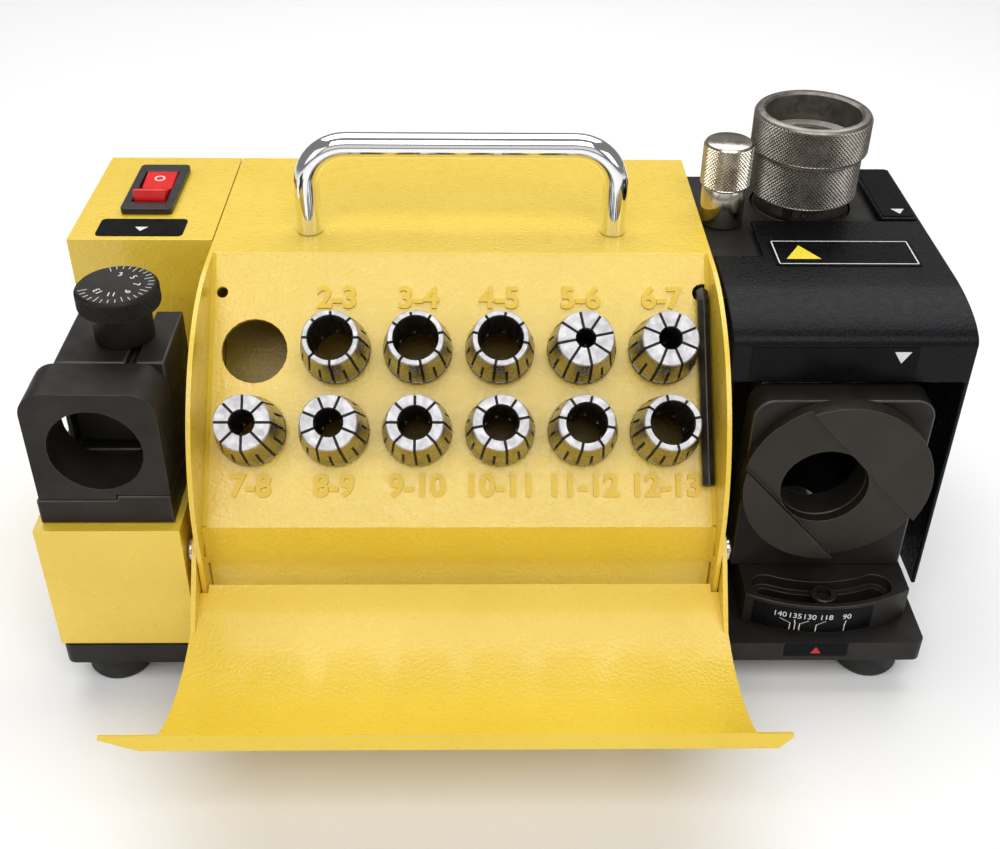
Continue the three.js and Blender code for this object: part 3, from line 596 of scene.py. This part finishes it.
def dress(name, mesh, body, replaces, bevel, smooth=SHARP_ANGLE, flat_angle=0.0):
    """Turns a mesh in the frame's metres into a finished piece that rides on a body."""
    clean(mesh, flat_angle)
    piece = bpy.data.objects.new(name, mesh)
    bpy.context.scene.collection.objects.link(piece)
    if bevel:
        add_rounding(piece, bevel)
    mesh.shade_smooth()
    mesh.set_sharp_from_angle(angle=math.radians(smooth))
    if bevel:
        bpy.context.view_layer.update()
        evaluated = piece.evaluated_get(bpy.context.evaluated_depsgraph_get())
        piece.data = bpy.data.meshes.new_from_object(evaluated)
        piece.modifiers.clear()
    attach(piece, body)
    if replaces:
        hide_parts(*replaces)


def soften(node, materials, body, bevel, flat_angle=0.5):
    """Makes a finished copy of a CAD node: the same shape with its edges rounded and its arcs smooth."""
    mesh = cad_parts[node].data.copy()
    paint_with(mesh, materials, [0] * len(mesh.polygons))
    dress(f"{node}_finished", mesh, body, (node,), bevel, flat_angle=flat_angle)


# ---- sheet metal body ---------------------------------------------------------------------------


def build_body():
    """The sheets and the base. The cover's flat faces aren't merged, which would leave a line on its top."""
    soften("motor_cover", [YELLOW], "machine", 0.5, 0)
    soften("collet_rack", [YELLOW], "machine", 0.35)
    soften("switch_box", [YELLOW], "machine", 0.5)
    soften("rack_cover", [YELLOW], "rack_lid", 0.3)
    soften("base_plate", [ALLOY, EDGE], "machine", 0.5)
    build_creases()
    for side in ("left", "right"):
        build_hinge_screw(side)
    for depth in ("front", "rear"):
        for side in ("left", "right"):
            build_foot(f"foot_{depth}_{side}")


def build_creases():
    """Soft corners of the folded sheet, over the small gap that the solids leave round the rack."""
    corner, fold_half = 1.2, 75.9
    in_cheek = 76.2              # just past the inner face of the cheek's sheet
    apron_bottom, slope_length = 46, 84.3
    top_fold = [(67.4, 117.9), (68.9, 117.8), (68.9, TOP), (68.3, 118.95), (67.8, 118.55)]
    crease = Shape().add(along_x(top_fold, -fold_half, fold_half))
    for side in (-1, 1):
        on_panel, cheek = side * (in_cheek - corner), side * in_cheek
        slope_corner = [(on_panel, 0), (cheek, 0), (cheek, corner)]
        apron_corner = [(on_panel, RACK_Y), (cheek, RACK_Y), (cheek, RACK_Y - corner)]
        crease.add(along_y(slope_corner, 0.5, slope_length), on_rack(0, 0))
        crease.add(slab(apron_corner, apron_bottom, RACK_Z + 0.4))
    crease.piece("rack_creases", [YELLOW], "machine", "yellow_paint", smooth=60)


def middle(node):
    """The middle of a CAD node's box, in millimetres in the machine's axes."""
    low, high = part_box(node)
    return ((low + high) / 2 - ORIGIN) / MM


def build_hinge_screw(side):
    node = f"hinge_screw_{side}"
    low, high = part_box(node)
    length = (high.x - low.x) / MM
    head = 1.5
    profile = [(0, 0), (2, 0), (2, length - head), (3.8, length - head), (3.8, length - 0.9),
               (3.3, length - 0.3), (2.2, length), (1.6, length), (1.5, length - 1.1), (0, length - 1.1)]
    direction = 90 if side == "right" else -90
    centre = middle(node)
    inner_x = centre.x - length / 2 if side == "right" else centre.x + length / 2
    place = move(inner_x, centre.y, centre.z) @ turn(direction, "Y")
    shape = Shape().add(turned(profile, 48, hexagons=(7, 8)))
    shape.piece(f"{node}_finished", [STEEL], "machine", "spring_steel", (node,), place=place)


def build_foot(node):
    low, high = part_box(node)
    height = (high.z - low.z) / MM
    radius = (high.x - low.x) / 2 / MM
    groove = [(radius - 0.9 - 0.25 * (k % 2), 2 + k * 0.8) for k in range(8)]
    profile = [(0, 3), (5, 3), (5, 0), (8.5, 0), (9.4, 0.5), *groove, (radius, height - 1.4),
               (radius, height - 0.8), (radius - 0.6, height), (0, height)]
    centre = middle(node)
    shape = Shape().add(turned(profile, 64))
    place = move(centre.x, centre.y, 0)
    shape.piece(f"{node}_finished", [RUBBER], "machine", "foot_rubber", (node,), place=place)


# ---- collet rack --------------------------------------------------------------------------------


def on_rack(x, s, n=0.0):
    """The matrix of a place on the rack: x across, s up the slope, n off the face."""
    return move(x, RACK_Y, RACK_Z) @ turn(45, "X") @ move(0, s, n)


def rack_place(name):
    """The place across and up the rack of a collet such as upper_3."""
    row, column = name.split("_")
    return RACK_SHIFT + (int(column) - 3.5) * RACK_PITCH, RACK_ROWS[row]


def collet_sides(bore):
    """(outer radius, inner radius, height) up a collet, from its nose in the hole to its flat end."""
    inner = bore / 2
    widest, end_radius = 10.5, 8.3
    taper_bottom, taper_top = 3.9, 18.0
    taper = (widest - end_radius) / (taper_top - taper_bottom)
    nose = [(7.0, inner + 0.4, -5.5), (7.4, inner, -5.0), (8.4, inner, -2.6), (9.5, inner, 0.1)]
    band = [(9.5, 0.35), (10.3, 0.4), (widest, 0.6), (widest, 1.85), (10.3, 2.1)]
    groove = [(9.7, 2.35), (9.6, 2.6), (9.6, 3.4), (9.7, 3.6), (10.35, taper_bottom)]
    cone = [(widest - (z - taper_bottom) * taper, z) for z in (4.1, 8.0, 12.5, 17.4)]
    return nose + [(outer, inner, z) for outer, z in band + groove + cone]


def slotted(levels):
    """A ring with eight slots cut down from the flat end, and between them eight up from the nose."""
    slots = 16
    slot_half_width, largest_sine = 0.42, 0.19
    end_slot_bottom, nose_slot_top = -2.6, 12
    columns = []
    for slot in range(slots):
        slot_angle = TAU * slot / slots
        columns += [(slot_angle, -1), (slot_angle, 1), (slot_angle + TAU / slots / 2, 0)]
    vertices = []
    for angle, side in columns:
        for outer, inner, height in levels:
            for radius in (outer, inner):
                spot = angle + side * math.asin(min(slot_half_width / radius, largest_sine))
                vertices.append((radius * math.cos(spot), radius * math.sin(spot), height))
    rows = len(levels)

    def index(column, row, is_inner):
        return (column % len(columns)) * rows * 2 + row * 2 + is_inner

    def present(column, row):
        if row < 0 or row >= rows - 1:
            return False
        column %= len(columns)
        if column % 3:
            return True
        height = (levels[row][2] + levels[row + 1][2]) / 2
        from_flat_end = (column // 3) % 2 == 0
        return height < end_slot_bottom if from_flat_end else height > nose_slot_top

    faces = []
    for c in range(len(columns)):
        for r in range(rows - 1):
            if not present(c, r):
                continue
            a, b = index(c, r, 0), index(c + 1, r, 0)
            d, e = index(c, r + 1, 0), index(c + 1, r + 1, 0)
            faces += [(a, b, e, d), (b + 1, a + 1, d + 1, e + 1)]
            if not present(c - 1, r):
                faces.append((a, d, d + 1, a + 1))
            if not present(c + 1, r):
                faces.append((b, b + 1, e + 1, e))
            if not present(c, r - 1):
                faces.append((a, a + 1, b + 1, b))
            if not present(c, r + 1):
                faces.append((d, e, e + 1, d + 1))
    return vertices, faces


def build_collets():
    """Steel collets with rubber in their slots, each turned a little differently about its own axis."""
    for number, (name, bore) in enumerate(COLLET_BORES.items()):
        inner = bore / 2
        x, s = rack_place(name)
        spin = turn(11.25 * (number * 5 % 7), "Z")
        flat_end = [(8.38, inner, 17.42), (8.32, inner, 17.7), (8.05, inner + 0.3, 18.0)]
        filler = turned([(inner + 0.3, -4.8), (6.6, -4.8), (9.0, 0.6), (9.0, 3.4), (9.9, 4.3), (7.95, 17.3),
                         (inner + 0.3, 17.3), (inner + 0.3, -4.8)], 48)
        materials = [COLLET, GAP, FACE, SHADED_BORE]
        shape = Shape().add(slotted(collet_sides(bore)), spin)
        shape.add(filler, paint=materials.index(GAP))
        shape.add(slotted(flat_end), spin, materials.index(FACE))
        # The bore walls take the dark steel, which paints the shade inside each bore.
        shape.repaint_bore(inner + 0.45, materials.index(SHADED_BORE))
        shape.piece(f"collet_{name}_finished", materials, f"collet_{name}_body", "spring_steel",
                    (f"collet_{name}",), place=on_rack(x, s), smooth=28)


def build_rack_numbers():
    """Raised size numbers: above the upper row of holes and below the lower row."""
    upper = ("", "2-3", "3-4", "4-5", "5-6", "6-7")
    lower = ("7-8", "8-9", "9-10", "10-11", "11-12", "12-13")
    size, depth, weight, sink = 9.4, 0.75, 0.28, 0.05
    shape = Shape()
    for labels, s in ((upper, 70.0), (lower, 12.1)):
        for column, text in enumerate(labels):
            if text:
                x = RACK_SHIFT + (column - 2.5) * RACK_PITCH
                shape.add(lettering(text, size, depth, weight), on_rack(x, s, -sink))
    shape.piece("rack_numbers", [NUMBERS], "machine", "yellow_paint", bevel=0.22)


def build_hex_key():
    soften("hex_key", [OXIDE, EDGE], "key", 0.25)


# ---- handle, switch and rear --------------------------------------------------------------------


def handle_path(radius):
    """The middle line of the bent bar. Its feet are 96 mm apart."""
    top = (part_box("carry_handle")[1].z - ORIGIN.z) / MM
    half, foot, bar, bend = 48.0, TOP + 0.3, top - radius, 13.0
    right = [(half, 0, foot), (half, 0, foot + 8)]
    for k in range(13):
        angle = math.radians(90 * k / 12)
        right.append((half - bend + bend * math.cos(angle), 0, bar - bend + bend * math.sin(angle)))
    return right + [(-x, y, z) for x, y, z in reversed(right)]


def build_handle():
    radius = 4.0
    shape = Shape().add(tube(handle_path(radius), radius, 40), move(0, middle("carry_handle").y, 0))
    shape.piece("carry_handle_finished", [CHROME], "machine", "chromed_bar", ("carry_handle",))


def label(width, height, radius, thickness=FILM_THICKNESS):
    """A rectangle of film with rounded corners, centred on the origin."""
    return slab(rounded_rectangle(width, height, radius), 0, thickness)


def triangle(width, height):
    """A printed triangle that points down."""
    corners = [(0, -height / 2), (width / 2, height / 2), (-width / 2, height / 2)]
    return slab(corners, 0, INK_THICKNESS)


def build_switch():
    soften("switch_bezel", [PLASTIC], "machine", 0.35)
    soften("switch_rocker", [RED], "rocker", 0.5)
    ring = turned([(1.25, 0), (1.75, 0), (1.75, 0.12), (1.25, 0.12), (1.25, 0)], 40)
    centre = middle("switch_bezel")
    rocker_slope = 4.3
    mark = move(centre.x, centre.y + 6.2, TOP + 2.08) @ turn(rocker_slope, "X")
    Shape().add(ring, mark).piece("rocker_mark", [WHITE_INK], "rocker", "red_plastic")
    label_x = -101.4
    plate = Shape().add(label(27.4, 11.6, 1.6), move(label_x, 84.6, TOP))
    plate.add(triangle(4.2, 2.8), move(label_x, 83.2, TOP + FILM_THICKNESS), 1)
    plate.piece("switch_label", [FILM, WHITE_INK], "machine", "black_plastic", smooth=30)


def build_rear():
    """The gland and the fuse holder, turned profiles of (radius, distance back) through the rear wall."""
    flange = 139.3               # just off the rear wall
    gland = middle("cord_gland")
    ribs = [(6.7 - 0.35 * k - 0.5 * (k % 2), flange + 5.7 + k * 0.8) for k in range(7)]
    profile = [(3.6, 131), (6.2, 131), (6.2, flange), (9, flange), (9, 144), (8.4, 144.8), *ribs,
               (4.4, 150.4), (3.6, 151), (3.6, 131)]
    place = move(gland.x, 0, gland.z) @ turn(-90, "X")
    shape = Shape().add(turned(profile, 72, hexagons=(3, 4)))
    shape.piece("cord_gland_finished", [PLASTIC], "machine", "black_plastic", ("cord_gland",), place=place)
    fuse = middle("fuse_holder")
    profile = [(0, 121), (5.4, 121), (6.2, 135), (6.2, flange), (8, flange), (8, 141.2), (7.4, 141.8),
               (5.5, 142), (5.2, 147.6), (4.8, 148), (1.4, 148), (1.2, 147), (0, 147)]
    place = move(fuse.x, 0, fuse.z) @ turn(-90, "X")
    shape = Shape().add(turned(profile, 72, hexagons=(10, 11)))
    shape.piece("fuse_holder_finished", [PLASTIC], "machine", "black_plastic", ("fuse_holder",), place=place)


# ---- setting gauge ------------------------------------------------------------------------------


def build_gauge():
    for node, bevel in (("gauge_base", 0.5), ("gauge_plate", 0.7), ("gauge_block", 0.6)):
        soften(node, [ALLOY, EDGE], "machine", bevel)
    soften("stop_plate", [MACHINED, EDGE], "depth_stop", 0.3)
    build_dial()


def build_dial():
    """A knurled knob on a neck, with a ring of digits and ticks on its top."""
    centre = middle("web_dial")
    low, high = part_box("web_dial")
    radius = (high.x - low.x) / 2 / MM
    bottom, top = (low.z - ORIGIN.z) / MM, (high.z - ORIGIN.z) / MM
    knob_bottom, dish = top - 6.9, top - 0.15
    core = turned([(0, bottom), (8.3, bottom), (8.5, bottom + 0.3), (8.5, knob_bottom - 0.6),
                   (9.2, knob_bottom), (radius - 1.2, knob_bottom), (radius - 0.4, knob_bottom + 0.5),
                   (radius - 0.45, top - 1), (radius - 1.1, dish), (0, dish)], 96)
    band = knurled(radius, knob_bottom + 0.5, top - 0.8, pitch=1.05, depth=0.4)
    shape = Shape().add(core).add(band)
    place = move(centre.x, centre.y, 0)
    shape.piece("web_dial_finished", [ALLOY], "dial", "dark_alloy", ("web_dial",), place=place)
    marks = Shape()
    for k, number in enumerate((3, 5, 7, 9, 11, 13)):
        angle = 90 - 45 * k
        spot = turn(angle, "Z") @ move(5.7, 0, dish) @ turn(-90, "Z")
        marks.add(lettering(str(number), 3.0, 0.08), spot)
    for k in range(25):
        length = 2.6 if k % 4 == 0 else 1.7
        angle = 112.5 - 11.25 * k
        line = slab([(-length, -0.09), (0, -0.09), (0, 0.09), (-length, 0.09)], 0, 0.08)
        marks.add(line, turn(angle, "Z") @ move(radius - 1.3, 0, dish))
    marks.piece("web_dial_marks", [WHITE_INK], "dial", "dark_alloy", place=place)


# ---- grinding head ------------------------------------------------------------------------------


def build_head():
    soften("head_housing", [ALLOY, EDGE], "machine", 0.5)
    soften("guard_cover", [BLACK], "guard", 0.5)
    ring = [(13.4, 102), (16.4, 102), (16.4, 113.4), (15.9, 114), (14.0, 114), (13.4, 113.4), (13.4, 102)]
    port = Shape().add(turned(ring, 96))
    port.piece("relief_port_finished", [OXIDE], "machine", "blackened_steel", ("relief_port",),
               place=move(*PORT, 0))
    build_feed_knob()
    build_guard_labels()
    for node in ("guard_screw_front", "guard_screw_rear"):
        build_guard_screw(node)


def build_feed_knob():
    centre = middle("feed_knob")
    radius, neck, top, grip = 8.2, 7.2, 142.3, 15.0
    core = turned([(0, 98), (3, 98), (3, 114.3), (neck - 0.2, 114.3), (neck, 114.6), (neck, top - grip - 0.8),
                   (neck - 0.5, top - grip), (radius - 0.7, top - grip), (radius - 0.35, top - grip + 0.5),
                   (radius - 0.6, top - grip + 0.8), (radius - 0.6, top - 1.2), (radius - 0.35, top - 0.9),
                   (radius - 0.7, top - 0.3), (radius - 1.2, top), (0, top)], 96)
    band = knurled(radius, top - grip + 0.4, top - 0.7, pitch=1.25, depth=0.55)
    shape = Shape().add(core).add(band)
    shape.piece("feed_knob_finished", [NICKEL], "feed", "nickel_knurl", ("feed_knob",),
                place=move(centre.x, centre.y, 0))


def flat_border(outer, inner):
    """The flat strip between two outlines that have as many points as each other."""
    count = len(outer)
    vertices = [(x, y, 0) for x, y in outer + inner]
    strips = [(k, (k + 1) % count, (k + 1) % count + count, k + count) for k in range(count)]
    return vertices, strips


def build_guard_labels():
    film_top = GUARD_TOP + FILM_THICKNESS
    label_y, front_film = 72.6, 0.2
    warning = Shape().add(label(45.5, 17.2, 1.0), move(120, label_y, GUARD_TOP))
    border = flat_border(rounded_rectangle(43.6, 15.3, 0.6), rounded_rectangle(42.8, 14.5, 0.4))
    warning.add(border, move(120, label_y, film_top + 0.04), 1)
    sign = slab([(0, 4.6), (-5.4, -4.4), (5.4, -4.4)], 0, INK_THICKNESS)
    warning.add(sign, move(106.5, label_y, film_top), 2)
    warning.piece("guard_label", [FILM, WHITE_INK, YELLOW_INK], "guard", "black_sheet", smooth=30)
    upright = turn(90, "X")
    front = Shape().add(label(49, 11.4, 0.8, front_film), move(109.5, GUARD_FRONT, 103.2) @ upright)
    front.add(triangle(5.0, 3.9), move(129, GUARD_FRONT - front_film, 105.4) @ upright, 1)
    front.piece("guard_front_label", [FILM, WHITE_INK], "guard", "black_sheet", smooth=30)
    side = Shape().add(label(10.4, 37, 0.6), move(144.4, 117, GUARD_TOP))
    side.add(triangle(4.4, 3.6), move(145.2, 101.8, film_top), 1)
    side.piece("relief_label", [FILM, WHITE_INK], "guard", "black_sheet", smooth=30)


def build_guard_screw(node):
    low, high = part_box(node)
    centre = middle(node)
    length = (high.x - low.x) / MM
    profile = [(0, 0), (2, 0), (2, length - 2.2), (3.8, length - 2.2), (3.7, length - 1.2),
               (3.0, length - 0.4), (1.6, length), (1.5, length), (1.4, length - 1.3), (0, length - 1.3)]
    place = move(centre.x - length / 2, centre.y, centre.z) @ turn(90, "Y")
    shape = Shape().add(turned(profile, 48, hexagons=(7, 8)))
    shape.piece(f"{node}_finished", [STEEL], "machine", "spring_steel", (node,), place=place)


def build_seat():
    soften("seat_plate", [ALLOY, EDGE], "seat", 0.5)
    soften("seat_cam", [MACHINED, EDGE], "seat", 0.35)
    soften("seat_sector", [ALLOY, EDGE], "seat", 0.5)
    profile = [(0, 13), (2.4, 13), (2.4, 27.3), (3.75, 27.3), (3.9, 27.5), (3.9, 30.5), (3.5, 30.9),
               (2.2, 30.9), (2.1, 28.9), (0, 28.7)]
    place = move(SEAT[0], middle("seat_clamp_screw").y, 0)
    shape = Shape().add(turned(profile, 60, hexagons=(7, 8)))
    shape.piece("seat_clamp_screw_finished", [OXIDE], "seat_clamp", "blackened_steel", ("seat_clamp_screw",),
                place=place)
    build_seat_scale()


def on_arc(offset, z, proud):
    """A place on the curved front of the seat's sector: offset is its distance across from the middle."""
    angle = math.degrees(math.asin(offset / SEAT_RADIUS))
    return move(*SEAT, z) @ turn(angle, "Z") @ move(0, -SEAT_RADIUS - proud, 0) @ turn(90, "X")


def arc_sheet(left, right, low, high, proud):
    """A thin sheet bent round the front of the sector."""
    vertices, faces = [], []
    steps = 16
    for k in range(steps + 1):
        angle = math.asin((left + (right - left) * k / steps) / SEAT_RADIUS)
        for reach in (SEAT_RADIUS + 0.02, SEAT_RADIUS + proud):
            for z in (low, high):
                vertices.append((reach * math.sin(angle), -reach * math.cos(angle), z))
    for k in range(steps):
        a = 4 * k
        faces += [(a + 2, a + 6, a + 7, a + 3), (a, a + 1, a + 5, a + 4)]
        faces += [(a, a + 4, a + 6, a + 2), (a + 1, a + 3, a + 7, a + 5)]
    end = 4 * steps
    faces += [(0, 2, 3, 1), (end, end + 1, end + 3, end + 2)]
    return vertices, faces


def build_seat_scale():
    """The scale of point angles round the sector, and its red index on the base plate below."""
    film, half_line, ink = 0.15, 0.14, 0.05
    scale = Shape().add(arc_sheet(-22, 15, 20.4, 29.6, film), move(*SEAT, 0))
    # (point angle, place of its number, place of its tick), in millimetres across the sector's front
    marks = ((140, -14.0, -10.6), (135, -9.5, -9.1), (130, -5.1, -7.7), (118, 0.1, -2.6), (90, 6.6, 6.3))
    for number, number_x, tick_x in marks:
        scale.add(lettering(str(number), 2.9, ink), on_arc(number_x, 26.6, film), 1)
        tick = slab([(-half_line, -1.4), (half_line, -1.4), (half_line, 1.4), (-half_line, 1.4)], 0, ink)
        scale.add(tick, on_arc(tick_x, 22.2, film), 1)
        lean = slab([(tick_x - half_line, 23.5), (tick_x + half_line, 23.5),
                     (number_x + half_line, 25.0), (number_x - half_line, 25.0)], 0, ink)
        middle_x = (tick_x + number_x) / 2
        scale.add(lean, on_arc(middle_x, 0, film) @ move(-middle_x, 0, 0), 1)
    scale.piece("seat_scale", [FILM, WHITE_INK], "seat", "dark_alloy", smooth=30)
    index_x, index_z = SEAT[0] - 2.4, 16.1
    index = Shape().add(label(20, 5.2, 0.4, film), move(index_x, 0, index_z) @ turn(90, "X"))
    mark = move(index_x, -film, index_z) @ turn(90, "X") @ turn(180, "Z")
    index.add(triangle(3.2, 2.8), mark, 1)
    index.piece("index_label", [FILM, RED_INK], "machine", "dark_alloy", smooth=30)


# ---- collet chuck -------------------------------------------------------------------------------


def build_chuck():
    """The knurled holder, with a small key and a screw on its neck, and the knurled nut above it."""
    place = move(*PORT, 0)
    body = Shape().add(turned([
        (7, 100), (12.2, 100), (13.1, 101), (13.1, 114.3), (15.5, 114.3), (15.7, 114.6), (15.7, 118.6),
        (15.4, 119), (17.2, 119), (17.4, 119.4), (17.15, 119.7), (17.15, 133.1), (17.4, 133.4),
        (17.0, 134.1), (13, 134.1), (13, 137), (10.6, 137), (7, 113), (7, 100)], 96))
    body.add(knurled(17.8, 119.3, 133.7, pitch=1.35, depth=0.6))
    key = slab([(-1.6, -0.6), (1.6, -0.6), (1.6, 0.6), (-1.6, 0.6)], 114.8, 118.2)
    body.add(key, turn(-28, "Z") @ move(0, -15.4, 0), 1)
    screw = turned([(0, 0), (1.5, 0), (1.5, 0.5), (0.8, 0.5), (0.7, 0.1), (0, 0.1)], 36, hexagons=(3, 4))
    body.add(screw, turn(-8, "Z") @ move(0, -15.35, 116.6) @ turn(90, "X"), 1)
    body.piece("chuck_body_finished", [GUN, OXIDE], "chuck", "blackened_steel", ("chuck_body",), place=place)
    nut = Shape().add(turned([
        (13.3, 134.4), (18.6, 134.4), (18.9, 134.8), (18.65, 135.1), (18.65, 145.9), (18.9, 146.2),
        (18.6, 146.8), (18.0, 147.2), (16.4, 147.2), (15.6, 146.4), (15.6, 137.8), (14.6, 137.1),
        (13.3, 136.2), (13.3, 134.4)], 96))
    nut.add(knurled(19.3, 134.7, 146.4, pitch=1.35, depth=0.6))
    nut.piece("chuck_nut_finished", [GUN], "nut", "blackened_steel", ("chuck_nut",), place=place)


# ---- pieces inside ------------------------------------------------------------------------------


def build_inside():
    """The inner CAD nodes keep their shape and get a finish. The rack backing's finish is a darker yellow
    that paints the shade behind the rack's empty hole.
    """
    finishes = {
        # The rack backing takes the darker yellow, as painted shade.
        PAINTED_SHADE_YELLOW: ("rack_backing",),
        GREY: ("motor_can", "motor_end_left", "motor_end_right"),
        ALLOY: ("motor_cradle",),
        STEEL: ("bearing_left", "bearing_right", "rotor", "wheel_collar", "wheel_nut", "seat_pivot",
                "handle_screw_left", "handle_screw_right"),
        GRIT: ("grinding_wheel",),
        LAMINATE: ("rectifier_board",),
    }
    for material, nodes in finishes.items():
        for node in nodes:
            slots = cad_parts[node].data.materials
            slots.clear()
            slots.append(material)


# ---- stage, lights and camera -------------------------------------------------------------------


def build_stage():
    bpy.ops.mesh.primitive_plane_add(size=8, location=(0, 0, 0))
    floor = bpy.context.object
    floor.name = "floor"
    paper = Surface("floor_paper", (0.93, 0.93, 0.93), 0.85)
    paper.vary_color(paper.noise(3, 2), (0.92, 0.92, 0.92), (0.94, 0.94, 0.94))
    floor.data.materials.append(paper.material)


def soft_light(name, place, target, size, power):
    light = bpy.data.lights.new(name, "AREA")
    light.shape = "RECTANGLE"
    light.size, light.size_y = size
    light.energy = power
    holder = bpy.data.objects.new(name, light)
    holder.location = place
    holder.rotation_euler = (Vector(target) - Vector(place)).to_track_quat("-Z", "Y").to_euler()
    bpy.context.scene.collection.objects.link(holder)


def build_lights():
    aim = (0, 0, 0.06)
    soft_light("overhead", (0, 0.5, 1.05), aim, size=(1.6, 1.0), power=12)
    soft_light("front_top", (0, -0.75, 1.1), aim, size=(1.3, 0.7), power=9)
    soft_light("front", (0, -1.3, 0.45), aim, size=(1.4, 0.5), power=1.2)
    soft_light("front_left", (-0.9, -0.8, 0.5), aim, size=(0.6, 0.6), power=1.2)
    soft_light("front_right", (1.0, -0.7, 0.5), aim, size=(0.6, 0.6), power=1.5)
    world = bpy.data.worlds.new("studio")
    world.use_nodes = True
    background = world.node_tree.nodes["Background"]
    background.inputs["Color"].default_value = (1, 1, 1, 1)
    background.inputs["Strength"].default_value = 0.22
    bpy.context.scene.world = world
    bpy.context.scene.view_settings.view_transform = "Standard"


def build_camera():
    """The photograph's view: from the front and above, turned and rolled a little."""
    picture_width = 1000
    focal_pixels = 1267.7
    yaw, pitch, roll = math.radians(1.35), math.radians(35.49), math.radians(0.80)
    camera = bpy.data.cameras.new("camera")
    camera.sensor_fit = "HORIZONTAL"
    camera.sensor_width = 36.0
    camera.lens = camera.sensor_width * focal_pixels / picture_width
    camera.clip_start = 0.01
    holder = bpy.data.objects.new("camera", camera)
    forward = Vector((math.sin(yaw) * math.cos(pitch), math.cos(yaw) * math.cos(pitch), -math.sin(pitch)))
    level = Vector((math.cos(yaw), -math.sin(yaw), 0))
    upright = level.cross(forward)
    right = level * math.cos(roll) + upright * math.sin(roll)
    up = upright * math.cos(roll) - level * math.sin(roll)
    axes = Matrix((right, up, -forward)).transposed().to_4x4()
    eye = at(4.5, -280.8, 303.0)
    holder.matrix_world = Matrix.Translation(eye) @ axes
    bpy.context.scene.collection.objects.link(holder)
    bpy.context.scene.camera = holder


build_body()
build_collets()
build_rack_numbers()
build_hex_key()
build_handle()
build_switch()
build_rear()
build_gauge()
build_head()
build_seat()
build_chuck()
build_inside()
build_stage()
build_lights()
build_camera()
